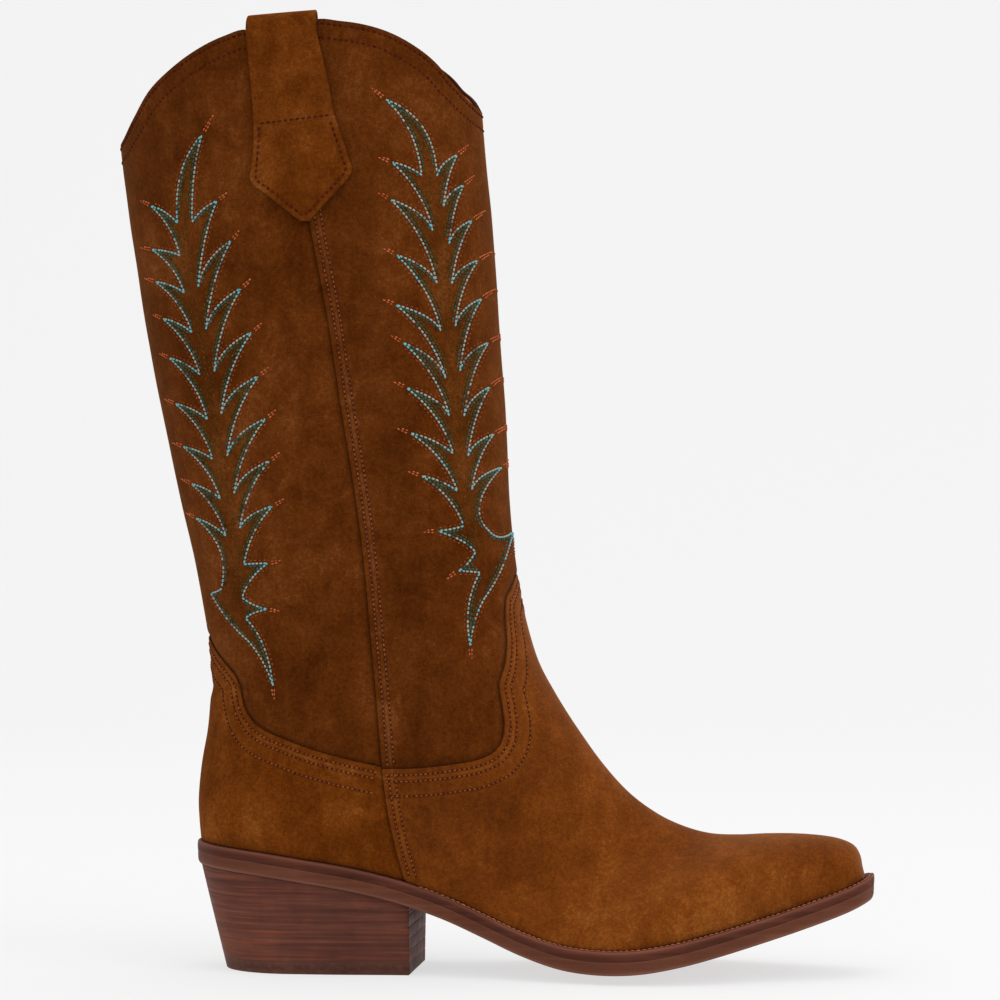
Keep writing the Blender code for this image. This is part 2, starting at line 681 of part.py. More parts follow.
nail_holes = add_mesh("cut_nails", *joined([rod(-5, 70, x, y, NAIL_R + NAIL_CLEAR) for x, y in NAILS]),
                      cutter=True)
head_holes = add_mesh("cut_nail_heads", *joined([rod(20, 70, x, y, NAIL_HEAD_R + NAIL_CLEAR)
                                                 for x, y in NAILS]), cutter=True)
turn_outward(nail_holes)
turn_outward(head_holes)
for i, (x, y) in enumerate(NAILS):
    nail(f"heel_nail_{i + 1}", x, y)
cut(insole, head_holes)
for piece in [cork, outsole] + layers[1:]:
    cut(piece, nail_holes)
nail_pockets = add_mesh("cut_nail_tips", *joined([rod(NAIL_TIP - 0.6, 70, x, y, NAIL_R + NAIL_CLEAR)
                                                  for x, y in NAILS]), cutter=True)
turn_outward(nail_pockets)
cut(layers[0], nail_pockets)
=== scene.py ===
"""Looks of the cowboy boot: suede panels, lining, thread, welted sole and stacked heel.

Drawing units are millimetres. +X points to the toe, -Y is the outer side and z = 0 is the ground.
The upper is one surface, skin(s, psi): s runs down the boot (0 above the rim, 13 at the rear corner
of the vamp, 24 at the toe tip), psi runs round it (0 front, 90 outer seam, 180 back, 270 inner seam).
"""

import math

import bpy
import numpy as np
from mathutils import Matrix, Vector, noise


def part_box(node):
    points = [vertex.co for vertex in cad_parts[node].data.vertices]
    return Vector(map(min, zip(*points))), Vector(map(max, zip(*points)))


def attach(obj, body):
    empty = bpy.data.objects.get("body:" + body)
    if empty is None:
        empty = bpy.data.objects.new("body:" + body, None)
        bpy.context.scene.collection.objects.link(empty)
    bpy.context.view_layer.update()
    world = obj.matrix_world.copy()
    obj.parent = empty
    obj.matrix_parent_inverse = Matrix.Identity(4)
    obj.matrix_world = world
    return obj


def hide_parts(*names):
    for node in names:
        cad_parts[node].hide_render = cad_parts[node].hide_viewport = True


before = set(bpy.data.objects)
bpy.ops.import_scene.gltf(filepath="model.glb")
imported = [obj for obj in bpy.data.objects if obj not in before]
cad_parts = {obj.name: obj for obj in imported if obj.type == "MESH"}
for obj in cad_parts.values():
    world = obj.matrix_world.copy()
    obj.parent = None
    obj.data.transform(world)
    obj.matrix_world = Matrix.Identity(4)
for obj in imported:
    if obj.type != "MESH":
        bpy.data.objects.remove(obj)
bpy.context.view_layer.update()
M = 0.001

# ---------------- drawn lines (mm)
# The middle of the front, of the back and of the side seams, as (x, z), one point for each step of s.
FRONT = [(-23.5, 392), (-21, 342), (-17.3, 303), (-14.6, 265), (-11.8, 228), (-10.2, 194), (-7.8, 168),
         (-4.4, 147), (1, 128), (8.5, 113.5), (17.5, 99), (27.5, 85), (38.5, 73), (50, 64.6), (61, 59.3),
         (72, 56.3), (83.5, 55.7), (95, 56.2), (106, 56.3), (116, 55.6), (124, 54.2), (129.8, 51.6),
         (132.4, 47.5), (133.3, 43.0), (134.3, 39.1)]
BACK = [(-174.5, 392), (-171.3, 342), (-166.5, 303), (-160.8, 265), (-153.8, 228), (-146.6, 194),
        (-140, 166), (-134.9, 138), (-133.7, 118), (-134.6, 100), (-137, 84), (-138.2, 70), (-137.8, 60),
        (-137.2, 52.5)]
SEAM = [(-97.5, 392), (-91.5, 342), (-85.2, 303), (-78.2, 265), (-72.8, 228), (-67.6, 194), (-64.3, 166),
        (-62, 138), (-60, 115), (-58.6, 97), (-57.2, 81), (-55.2, 66), (-52.4, 52), (-49.1, 38.4)]
SEAM_HALF = [45, 45.8, 46, 45, 43, 40.8, 38.5, 36.6, 35.8, 35.5, 35.3, 34.4, 32.4, 29.2]
CORNER, LAST = 13, 24
# x of the feather line, where the upper meets the welt, from s = 13 on, and then heights and widths along x.
FEATHER_X = [-49.1, -36, -6, 28, 58, 82, 100, 113.5, 122.5, 128.3, 131.8, 133.7]
WELT_TOP = [(-139, 52.2), (-111, 49.6), (-90, 46.4), (-70, 43.1), (-50, 38.2), (-34, 32.7), (-18, 25.9),
            (-2, 19.2), (14, 14.6), (30, 13), (46, 13.6), (62, 16.3), (78, 20.2), (94, 24.6), (110, 29.4),
            (125, 34.6), (139, 40.6)]
HALF_WIDTH = [(-138, 31.5), (-85, 31.6), (-65, 30.6), (-49, 29.2), (-25, 27.4), (0, 32), (20, 38.3),
              (35, 41.5), (48, 42.5), (62, 41), (78, 36), (92, 29.8), (105, 24.5), (115, 20.6), (124, 17.6),
              (135, 14.6)]
SHIFT = [(-140, 0), (-60, 0), (-20, -2.2), (10, -2.6), (40, -2), (75, 0), (105, 2.6), (135, 4.6)]
WELT_OUT = [(-140, 1.5), (-50, 1.6), (-10, 2.6), (30, 3.3), (90, 3.3), (140, 3.8)]
CROWN = [(-139, 0), (-50, 0), (-25, 1.2), (5, 3.2), (30, 3.6), (60, 3.3), (95, 2), (120, 0.8), (139, 0)]
HEEL_ROUND, TOE_ROUND = (-137.2, 32), (134.6, 8)
# The panels' edges, as (degrees from the front, s), and the strap's as (psi, s, psi, s) from its tab up.
RIM = [(0, 0.84), (10, 0.805), (18, 0.735), (24, 0.672), (30, 0.6), (36, 0.495), (44, 0.385), (56, 0.262),
       (66, 0.206), (72, 0.19), (78, 0.176), (80.5, 0.186), (85, 0.284), (91, 0.292), (97, 0.284),
       (101, 0.252), (108, 0.293), (120, 0.414), (130, 0.545), (139, 0.68), (150, 0.895), (160, 1.045),
       (180, 1.12)]
VAMP_LINE = [(0, 6.3), (8, 6.42), (16, 6.6), (23, 6.84), (26, 7.15), (28, 7.48), (31, 7.78), (35, 8.08),
             (39, 8.32), (41.5, 8.52), (43, 8.85), (45, 9.3), (48, 9.7), (53, 10.03), (59, 10.15),
             (69, 10.12), (78, 10.03), (90, 9.82)]
COUNTER_LINE = [(90, 9.77), (101, 9.6), (112, 9.4), (121, 9.2), (129, 9.02), (135, 8.8), (139, 8.5),
                (142, 8.1), (144, 7.9), (148, 7.72), (154, 7.54), (162, 7.34), (170, 7.18), (180, 7.1)]
STRAP_ROWS = [(92.4, 2.02, 89.5, 2.02), (96.2, 1.89, 84.6, 1.87), (100.6, 1.74, 78.1, 1.68),
              (104.7, 1.6, 73, 1.5), (103.9, 1.42, 73.5, 1.33), (102.5, 1.22, 74.8, 1.13),
              (101.5, 1.0, 76.3, 0.92), (101, 0.75, 77, 0.69), (100.7, 0.5, 78.2, 0.46),
              (100.6, 0.3, 79.2, 0.28)]
ORIGIN = np.array([FRONT[-1][0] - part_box("vamp")[1].x / M, 0, 0])    # the frame's origin, in drawing mm

# ---------------- curves and the surface, on arrays


def curve(points):
    """A smooth function through the points that also takes arrays."""
    xs, ys = np.array([p[0] for p in points], float), np.array([p[1] for p in points], float)
    h = np.diff(xs)
    step = np.diff(ys) / h
    slope = np.concatenate([step[:1], (h[1:] * step[:-1] + h[:-1] * step[1:]) / (h[1:] + h[:-1]), step[-1:]])

    def at(x):
        x = np.clip(x, xs[0], xs[-1])
        i = np.clip(np.searchsorted(xs, x, side="right") - 1, 0, len(xs) - 2)
        t = (x - xs[i]) / h[i]
        return ((2 * t**3 - 3 * t * t + 1) * ys[i] + (t**3 - 2 * t * t + t) * h[i] * slope[i]
                + (3 * t * t - 2 * t**3) * ys[i + 1] + (t**3 - t * t) * h[i] * slope[i + 1])

    return at


def along(points, k):
    return curve([(i, p[k]) for i, p in enumerate(points)])


def smoothstep(t):
    t = np.clip(t, 0, 1)
    return t * t * (3 - 2 * t)


def cap(t, power):
    return (1 - (1 - np.clip(t, 0, 1)) ** power) ** (1 / power)


front_x, front_z = along(FRONT, 0), along(FRONT, 1)
back_x, back_z = along(BACK, 0), along(BACK, 1)
seam_x, seam_z = along(SEAM, 0), along(SEAM, 1)
seam_half = curve(list(enumerate(SEAM_HALF)))
feather_x = curve([(CORNER + i, x) for i, x in enumerate(FEATHER_X)])
welt_top, side_half = curve(WELT_TOP), curve(HALF_WIDTH)
shift, welt_out, crown = curve(SHIFT), curve(WELT_OUT), curve(CROWN)
rim, vamp_line, counter_line = curve(RIM), curve(VAMP_LINE), curve(COUNTER_LINE)
front_full = curve([(0, 0.06), (5, 0.06), (8, 0.04), (11, 0), (13, 0.02), (15, 0.1), (18, 0.22),
                    (21, 0.3), (24, 0.3)])
back_full = curve([(0, 0.04), (6, 0.06), (9, 0.12), (13, 0.2)])


def feather_half(x):
    return (side_half(x) * cap((x - HEEL_ROUND[0]) / HEEL_ROUND[1], 2.0)
            * cap((TOE_ROUND[0] - x) / TOE_ROUND[1], 2.2))


def feather_z(x):
    return welt_top(x) + 0.55


def side_line(s):
    low = np.minimum(s, CORNER)
    near = np.clip(low - CORNER + 1, 0, 1)
    low = np.where(near > 0, CORNER - (1 - near) ** 1.6, low)
    high = np.maximum(s, CORNER)
    near = np.clip(high - CORNER, 0, 1)
    high = np.where(near < 1, CORNER + near**1.6, high)
    x = feather_x(high)
    foot = s > CORNER
    return (np.where(foot, x, seam_x(low)), np.where(foot, feather_z(x), seam_z(low)),
            np.where(foot, feather_half(x), seam_half(low)))


def fold(psi):
    """0..180 measured from the front, the same on both sides."""
    return np.abs((np.asarray(psi, float) + 180) % 360 - 180)


def surface(s, psi):
    """Points of the outer surface of the upper, in mm."""
    s, psi = np.broadcast_arrays(np.asarray(s, float), np.asarray(psi, float))
    turned = (psi + 180) % 360 - 180
    outer, a = np.where(turned >= 0, -1, 1), np.abs(turned)
    ex, ez, half = side_line(s)
    u, c = np.sin(np.radians(np.abs(90 - a))), np.cos(np.radians(np.abs(90 - a)))
    ahead = a <= 90
    x = ex + (np.where(ahead, front_x(s), back_x(s)) - ex) * u
    z = ez + (np.where(ahead, front_z(s), back_z(s)) - ez) * u
    y = half * c * (1 + np.where(ahead, front_full(s), back_full(s)) * u * u)
    low = np.where(ahead, 0, smoothstep((s - 9) / (CORNER - 9)))
    corner_x = SEAM[-1][0]
    plan = feather_half(corner_x + (HEEL_ROUND[0] - corner_x) * u)
    y = y * (1 - low) + low * half / SEAM_HALF[-1] * plan
    straight = feather_z(corner_x) + (feather_z(HEEL_ROUND[0]) - feather_z(corner_x)) * u
    z = z + np.where(ahead, 0, smoothstep((s - 11) / 2)) * (feather_z(x) - straight)
    return np.stack([x, outer * y + shift(x) * smoothstep((115 - z) / 60), z], -1)


def outward(s, psi):
    """Unit normals pointing out of the boot."""
    s, psi = np.broadcast_arrays(np.asarray(s, float), np.asarray(psi, float))
    foot = s > CORNER
    low, high = psi - 1, psi + 1
    low, high = np.where(foot, np.maximum(low, -90), low), np.where(foot, np.minimum(high, 90), high)
    at = np.where(foot, np.minimum(s, LAST - 0.6), s)
    end = np.where((fold(psi) > 90), CORNER, LAST)
    down = surface(np.minimum(at + 0.05, end), psi) - surface(np.maximum(at - 0.05, 0), psi)
    n = np.cross(surface(at, high) - surface(at, low), down)
    return n / np.maximum(np.linalg.norm(n, axis=-1, keepdims=True), 1e-9)


def undulation(points):
    """Small soft waves of worn leather, in mm, the same for every layer at one place."""
    flat = points.reshape(-1, 3)
    out = np.empty(len(flat))
    for i, (x, y, z) in enumerate(flat):
        out[i] = (0.55 * noise.noise(Vector((x / 38, y / 38, z / 60)))
                  + 0.2 * noise.noise(Vector((x / 15, y / 15 + 9, z / 22))))
    shaft = smoothstep((flat[:, 2] - 70) / 40)
    soft = 0.35 + 0.65 * shaft
    # One crease above the heel, gentle above and sharp below, dies out a little way forward.
    above = flat[:, 2] - 113.8 - 0.08 * (flat[:, 0] + 133)
    fades = np.exp(-np.where(above > 0, above / 4.5, -above / 1.6))
    folds = -1.5 * smoothstep((-92 - flat[:, 0]) / 36) * fades
    return (out * soft + folds).reshape(points.shape[:-1])


def rim_line(psi):
    """The rim, which beside the front stands lower on the outer side and higher on the inner side."""
    turned = (np.asarray(psi, float) + 180) % 360 - 180
    lower = 0.026 * np.exp(-((turned - 20) / 9) ** 2)
    return rim(fold(psi)) + lower - 0.024 * np.exp(-((turned + 20) / 9) ** 2)


def locate(target, s, psi):
    """(s, psi) of the surface points nearest to the targets, starting from a guess."""
    s, psi = np.array(s, float), np.array(psi, float)
    for _ in range(4):
        p = surface(s, psi)
        ds = (surface(s + 0.02, psi) - p) / 0.02
        dp = (surface(s, psi + 0.5) - p) / 0.5
        r = target - p
        a, b, c = (ds * ds).sum(-1), (ds * dp).sum(-1), (dp * dp).sum(-1)
        e, f = (ds * r).sum(-1), (dp * r).sum(-1)
        det = np.maximum(a * c - b * b, 1e-9)
        s = np.clip(s + np.clip((c * e - b * f) / det, -1, 1), 0.02, LAST)
        psi = psi + np.clip((a * f - b * e) / det, -15, 15)
    return s, psi


def to_line(points, line):
    """Distance in mm from each point to a polyline."""
    flat = points.reshape(-1, 3)
    a, d = line[:-1], np.diff(line, axis=0)
    d2 = np.maximum((d * d).sum(1), 1e-12)
    out = np.empty(len(flat))
    for k in range(0, len(flat), 4096):
        q = flat[k:k + 4096, None, :] - a
        t = np.clip((q * d).sum(-1) / d2, 0, 1)
        out[k:k + 4096] = np.sqrt(((q - t[..., None] * d) ** 2).sum(-1).min(1))
    return out.reshape(points.shape[:-1])


# ---------------- making pieces


def build(name, points, faces, stands_for, values):
    """A piece from drawing-mm points, with named float values on its vertices."""
    mesh = bpy.data.meshes.new(name)
    mesh.from_pydata(((np.asarray(points) - ORIGIN) * M).tolist(), [], [tuple(f) for f in faces])
    for key, value in values.items():
        made = mesh.attributes.new(key, "FLOAT", "POINT")
        made.data.foreach_set("value", np.asarray(value, np.float32).ravel())
    mesh.validate()
    mesh.polygons.foreach_set("use_smooth", [True] * len(mesh.polygons))
    obj = bpy.data.objects.new(name, mesh)
    bpy.context.scene.collection.objects.link(obj)
    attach(obj, "root")
    if stands_for:
        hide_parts(*stands_for)
    return obj


def grid(rows, columns, start=0, flip=False, closed=False):
    r, c = np.meshgrid(np.arange(rows - 1), np.arange(columns if closed else columns - 1), indexing="ij")
    nxt = (c + 1) % columns
    quads = np.stack([r * columns + c, r * columns + nxt, (r + 1) * columns + nxt, (r + 1) * columns + c], -1)
    quads = quads.reshape(-1, 4) + start
    return quads[:, ::-1] if flip else quads


def shell(name, outer, normals, thickness, stands_for, values, roll=0.45, flip=False):
    """A closed leather piece: an outer grid with rolled edges, an inner grid and the cut edge."""
    rows, columns = outer.shape[:2]
    across = np.linalg.norm(np.diff(outer, axis=1), axis=-1)
    down = np.linalg.norm(np.diff(outer, axis=0), axis=-1)
    zero_c, zero_r = np.zeros((rows, 1)), np.zeros((1, columns))
    a, d = np.concatenate([zero_c, across.cumsum(1)], 1), np.concatenate([zero_r, down.cumsum(0)], 0)
    edge = np.minimum(np.minimum(a, a[:, -1:] - a), np.minimum(d, d[-1:] - d))
    t = np.clip(1 - edge / roll, 0, 1)
    outer = outer - normals * (roll * (1 - np.sqrt(1 - t * t)))[..., None]
    inner = outer - normals * (thickness - roll * (1 - np.sqrt(1 - t * t)) * 0.6)[..., None]
    points = np.concatenate([outer.reshape(-1, 3), inner.reshape(-1, 3)])
    n = rows * columns
    ids = np.arange(n).reshape(rows, columns)
    loop = np.concatenate([ids[0], ids[1:, -1], ids[-1, -2::-1], ids[-2:0:-1, 0]])
    nxt = np.roll(loop, -1)
    wall = np.stack([loop, loop + n, nxt + n, nxt], -1)
    faces = np.concatenate([grid(rows, columns, 0, not flip), grid(rows, columns, n, flip),
                            wall if not flip else wall[:, ::-1]])
    both = {k: np.concatenate([np.ravel(v), np.ravel(v)]) for k, v in values.items()}
    both["cut"] = np.concatenate([np.clip(1 - edge / 0.25, 0, 1).ravel() * 0.5, np.ones(n)])
    return build(name, points, faces, stands_for, both)


# Distances in from an edge, mm: of the stitch rows, and of the grid's lines beside them.
ROWS, THIRD_ROW, RIM_ROWS = (2.5, 5.1), 11, (1.9, 7.6)
NEAR = [0, 0.12, 0.3, 0.6, 1.1, 1.7, 2.1, 2.5, 2.9, 3.6, 4.4, 4.8, 5.2, 5.8, 6.8, 8.4, 10, 10.6, 11,
        11.4, 12.2]
FEW = [0, 0.12, 0.3, 0.6, 1.2, 2.2, 3.4]


def panel_grid(psis, top, bottom, near_top, near_bottom, spacing):
    """s for every row and column: rows crowd towards the two edges, at distances in mm."""
    t = np.linspace(0, 1, 200)[:, None]
    s = top[None, :] + (bottom - top)[None, :] * t
    p = surface(s, psis[None, :])
    to_top = np.maximum.accumulate(to_line(p, p[0]), axis=0)
    to_low = np.maximum.accumulate(to_line(p, p[-1])[::-1], axis=0)[::-1]
    run = np.concatenate([np.zeros((1, len(psis))), np.linalg.norm(np.diff(p, axis=0), axis=-1).cumsum(0)])
    middle = max(3, int(np.median(run[-1]) / spacing))
    rows = np.empty((len(near_top) + middle + len(near_bottom), len(psis)))
    rising = np.arange(len(t)) * 1e-7
    for c in range(len(psis)):
        a = np.interp(near_top, to_top[:, c] + rising, run[:, c])
        b = np.interp(near_bottom, to_low[::-1, c] + rising, run[::-1, c])[::-1]
        m = a[-1] + (b[0] - a[-1]) * np.linspace(0, 1, middle + 2)[1:-1]
        rows[:, c] = np.interp(np.concatenate([a, m, b]), run[:, c], s[:, c])
    return rows


def columns_between(start, end, near_start, near_end, spacing, mm_per_degree=1.15):
    a = start + np.array(near_start) / mm_per_degree
    b = end - np.array(near_end)[::-1] / mm_per_degree
    count = max(3, int((b[0] - a[-1]) * mm_per_degree / spacing))
    return np.concatenate([a, np.linspace(a[-1], b[0], count + 2)[1:-1], b])


def bell(d, centre, width):
    return np.exp(-((d - centre) / width) ** 2)


def rows_of_thread(d, third=False):
    """How far the leather is pulled in along its stitch rows, in mm."""
    pull = 0.26 * bell(d, ROWS[0], 0.7) + 0.26 * bell(d, ROWS[1], 0.7) - 0.12 * bell(d, 3.8, 0.8)
    return pull + 0.24 * bell(d, THIRD_ROW, 0.8) if third else pull


# ---------------- materials


def nodes_of(name):
    made = bpy.data.materials.new(name)
    made.use_nodes = True
    tree = made.node_tree
    return made, tree.nodes, tree.links, tree.nodes["Principled BSDF"]


class Graph:
    """Short ways to add the few node types that the materials share."""

    def __init__(self, name, roughness=0.8, **sockets):
        self.material, self.nodes, self.links, self.shader = nodes_of(name)
        self.shader.inputs["Roughness"].default_value = roughness
        for key, value in sockets.items():
            self.shader.inputs[key.replace("_", " ")].default_value = value
        coord = self.nodes.new("ShaderNodeTexCoord")
        self.where = coord.outputs["Object"]

    def feed(self, value, socket):
        if hasattr(value, "is_linked") or hasattr(value, "links"):
            self.links.new(value, socket)
        else:
            socket.default_value = value

    def stretched(self, scale):
        node = self.nodes.new("ShaderNodeMapping")
        node.inputs["Scale"].default_value = scale
        self.links.new(self.where, node.inputs["Vector"])
        return node.outputs["Vector"]

    def noise(self, scale, detail=3.0, rough=0.55, distortion=0.0, vector=None):
        node = self.nodes.new("ShaderNodeTexNoise")
        for key, value in (("Scale", scale), ("Detail", detail), ("Roughness", rough),
                           ("Distortion", distortion)):
            node.inputs[key].default_value = value
        self.links.new(vector or self.where, node.inputs["Vector"])
        return node.outputs["Fac"]

    def cells(self, scale):
        node = self.nodes.new("ShaderNodeTexVoronoi")
        node.feature = "DISTANCE_TO_EDGE"
        node.inputs["Scale"].default_value = scale
        self.links.new(self.where, node.inputs["Vector"])
        return node.outputs["Distance"]

    def value(self, name):
        node = self.nodes.new("ShaderNodeAttribute")
        node.attribute_name = name
        return node.outputs["Fac"]

    def math(self, kind, a, b, c=0.0, clamp=False):
        node = self.nodes.new("ShaderNodeMath")
        node.operation, node.use_clamp = kind, clamp
        for socket, value in zip(node.inputs, (a, b, c)):
            self.feed(value, socket)
        return node.outputs[0]

    def spread(self, value, low, high, to_low=0.0, to_high=1.0):
        node = self.nodes.new("ShaderNodeMapRange")
        self.feed(value, node.inputs["Value"])
        for key, v in (("From Min", low), ("From Max", high), ("To Min", to_low), ("To Max", to_high)):
            node.inputs[key].default_value = v
        return node.outputs["Result"]

    def ramp(self, value, *stops):
        node = self.nodes.new("ShaderNodeValToRGB")
        self.feed(value, node.inputs["Fac"])
        items = node.color_ramp.elements
        while len(items) < len(stops):
            items.new(0.5)
        for item, (at, colour) in zip(items, stops):
            item.position, item.color = at, (*colour, 1)
        return node.outputs["Color"]

    def mix(self, factor, a, b):
        node = self.nodes.new("ShaderNodeMix")
        node.data_type = "RGBA"
        self.feed(factor, node.inputs["Factor"])
        for socket, value in ((node.inputs["A"], a), (node.inputs["B"], b)):
            self.feed(value if hasattr(value, "links") else (*value, 1), socket)
        return node.outputs["Result"]

    def bump(self, height, strength, distance, before=None):
        node = self.nodes.new("ShaderNodeBump")
        node.inputs["Strength"].default_value = strength
        node.inputs["Distance"].default_value = distance
        self.links.new(height, node.inputs["Height"])
        if before:
            self.links.new(before, node.inputs["Normal"])
        return node.outputs["Normal"]

    def done(self, colour, rough, normal):
        self.links.new(colour, self.shader.inputs["Base Color"])
        if rough is not None:
            self.links.new(rough, self.shader.inputs["Roughness"])
        self.links.new(normal, self.shader.inputs["Normal"])
        return self.material


def suede(name, painted_light_tint, sheen, haze=0.0, clouds=0.5):
    """Brushed nap: cloudy at three scales, paler where it is rubbed and where a highlight is painted on
    raised strips, with painted shade in the folds of seams and under laps.
    """
    g = Graph(name, 0.95, Sheen_Weight=sheen, Sheen_Roughness=0.5, Sheen_Tint=(0.75, 0.38, 0.19, 1),
              Specular_IOR_Level=haze)
    cloud = g.noise(17, 3, 0.5, 0.4)
    patch = g.noise(75, 4, 0.6, 0.8)
    grain = g.noise(650, 3, 0.65)
    fibre = g.noise(1900, 2, 0.6)
    brushed = g.noise(130, 3, 0.6, vector=g.stretched((1, 1, 0.32)))
    level = g.math("MULTIPLY_ADD", cloud, 0.55, g.math("MULTIPLY_ADD", patch, clouds, 0.22 - clouds / 2))
    level = g.math("MULTIPLY_ADD", brushed, 0.28, g.math("ADD", level, -0.14))
    level = g.math("MULTIPLY_ADD", grain, 0.42, g.math("ADD", level, -0.21))
    level = g.math("MULTIPLY_ADD", fibre, 0.42, g.math("ADD", level, -0.21))
    # The band value makes the nap paler: rubbed wear, and a painted highlight on the raised strips beside
    # stitch rows; also paler at the rim, near the welt and round the strap's tab.
    level = g.math("MULTIPLY_ADD", g.value("band"), 0.13, level)
    colour = g.ramp(level, (0.2, (0.044 * painted_light_tint, 0.0092 * painted_light_tint, 0.0008)),
                    (0.44, (0.096 * painted_light_tint, 0.0215 * painted_light_tint, 0.0019)),
                    (0.6, (0.142 * painted_light_tint, 0.0352 * painted_light_tint, 0.0040)),
                    (0.85, (0.262 * painted_light_tint, 0.0820 * painted_light_tint, 0.0160)))
    # The dark value mixes in painted shade: under laps, in the crease at the welt, in needle holes and along
    # the strap; on the shaft it also holds a dark line at the rim's edge and a broad darker band beside the
    # side seams.
    colour = g.mix(g.math("MULTIPLY", g.value("dark"), 0.78, clamp=True), colour, (0.022, 0.006, 0.0018))
    colour = g.mix(g.math("MULTIPLY", g.value("cut"), 0.8), colour, (0.05, 0.014, 0.006))
    nap = g.math("MULTIPLY_ADD", grain, 0.6, g.math("MULTIPLY", fibre, 0.4))
    normal = g.bump(nap, 0.42, 0.00045, g.bump(patch, 0.25, 0.0012))
    return g.done(colour, None, normal)


def lining_leather(name):
    g = Graph(name, 0.5, Specular_IOR_Level=0.4)
    cloud, pores = g.noise(25, 3), g.cells(900)
    grain = g.noise(420, 4, 0.6)
    level = g.math("MULTIPLY_ADD", grain, 0.4, g.math("MULTIPLY", cloud, 0.6))
    colour = g.ramp(level, (0.3, (0.30, 0.105, 0.022)), (0.55, (0.40, 0.155, 0.036)),
                    (0.75, (0.50, 0.215, 0.062)))
    band = g.ramp(level, (0.3, (0.60, 0.185, 0.105)), (0.7, (0.78, 0.27, 0.16)))
    colour = g.mix(g.value("band"), colour, band)
    # The dark value mixes in painted shade at the seams, and a dark line below the rim facing.
    colour = g.mix(g.math("MULTIPLY", g.value("dark"), 0.7, clamp=True), colour, (0.10, 0.026, 0.008))
    rough = g.spread(grain, 0.3, 0.7, 0.42, 0.66)
    creases = g.math("MINIMUM", pores, 0.12)
    return g.done(colour, rough, g.bump(creases, 0.35, 0.0004, g.bump(grain, 0.3, 0.0005)))


def thread(name, *colours):
    """Twisted thread: each stitch has its own tone, and the ply shows as a fine noisy bump."""
    g = Graph(name, 0.85, Specular_IOR_Level=0.05)
    twist = g.noise(2400, 2, 0.5)
    tone = g.math("MULTIPLY_ADD", twist, 0.3, g.math("MULTIPLY_ADD", g.value("tone"), 0.9, -0.13))
    places = np.linspace(0.12, 0.88, len(colours))
    colour = g.ramp(tone, *zip([float(v) for v in places], colours))
    return g.done(colour, None, g.bump(twist, 0.5, 0.0002))


def edge_leather(name, dark, middle, light, streaks, wear_and_highlight=(0.30, 0.13, 0.09), contrast=1.0):
    """Burnished edge of stacked or welted leather: fine level streaks under wax, paler on its corners, from
    wear and from a painted highlight.
    """
    g = Graph(name, 0.6, Specular_IOR_Level=0.1)
    layer = g.noise(14, 4, 0.55, 0.3, g.stretched(streaks))
    spots = g.noise(160, 4, 0.6)
    broad = g.noise(22, 3, 0.5)
    layers = g.spread(layer, 0.5 - 0.5 / contrast, 0.5 + 0.5 / contrast)
    level = g.math("MULTIPLY_ADD", spots, 0.25, g.math("MULTIPLY", broad, 0.3))
    level = g.math("MULTIPLY_ADD", layers, 0.6, level)
    colour = g.ramp(level, (0.36, dark), (0.57, middle), (0.78, light))
    wear_and_highlight_level = g.math("MULTIPLY", g.value("wear_and_highlight"), g.spread(broad, 0.3, 0.7, 0.3, 0.9), clamp=True)
    colour = g.mix(wear_and_highlight_level, colour, wear_and_highlight)
    finish = g.spread(spots, 0.3, 0.7, 0.5, 0.75)
    return g.done(colour, finish, g.bump(layer, 0.25, 0.0005, g.bump(spots, 0.2, 0.0003)))


def plain_board(name, dark, light, scale=300, rough=0.85, metallic=0.0):
    g = Graph(name, rough, Metallic=metallic)
    fine, broad = g.noise(scale, 5, 0.7), g.noise(scale / 12, 3)
    level = g.math("MULTIPLY_ADD", fine, 0.6, g.math("MULTIPLY", broad, 0.4))
    colour = g.ramp(level, (0.35, dark), (0.68, light))
    finish = g.spread(fine, 0.3, 0.7, rough - 0.12, min(1, rough + 0.1))
    return g.done(colour, finish, g.bump(fine, 0.4, 0.0005))


# The tints are painted light: copies of one suede made lighter or darker for how the light falls on each
# part, the vamp lightest, then the counter and the strap, the shaft darkest.
SUEDE = suede("suede_nap", 0.78, 0.14)
COUNTER_SUEDE = suede("suede_counter_nap", 1.04, 0.1)
VAMP_SUEDE = suede("suede_vamp_nap", 1.2, 0.24, 0.04, 0.36)
STRAP = suede("suede_strap_nap", 0.95, 0.1)
LINING = lining_leather("lining_leather_look")
SOCK = lining_leather("sock_leather_look")
TURQUOISE = thread("thread_turquoise", (0.030, 0.085, 0.075), (0.36, 0.38, 0.30), (0.22, 0.40, 0.39),
                   (0.13, 0.42, 0.47))
GREEN = thread("thread_dark_green", (0.014, 0.026, 0.010), (0.075, 0.135, 0.085))
OLIVE = thread("thread_olive", (0.030, 0.024, 0.004), (0.110, 0.080, 0.014))
RUST = thread("thread_rust", (0.18, 0.024, 0.006), (0.40, 0.085, 0.026))
ORANGE = thread("thread_orange", (0.34, 0.060, 0.018), (0.62, 0.17, 0.07))
BURGUNDY = thread("thread_burgundy", (0.038, 0.0042, 0.0022), (0.105, 0.0140, 0.0070))
COPPER = thread("thread_copper", (0.13, 0.031, 0.008), (0.31, 0.088, 0.026))
PINKISH = thread("thread_pinkish", (0.12, 0.032, 0.011), (0.29, 0.092, 0.036))
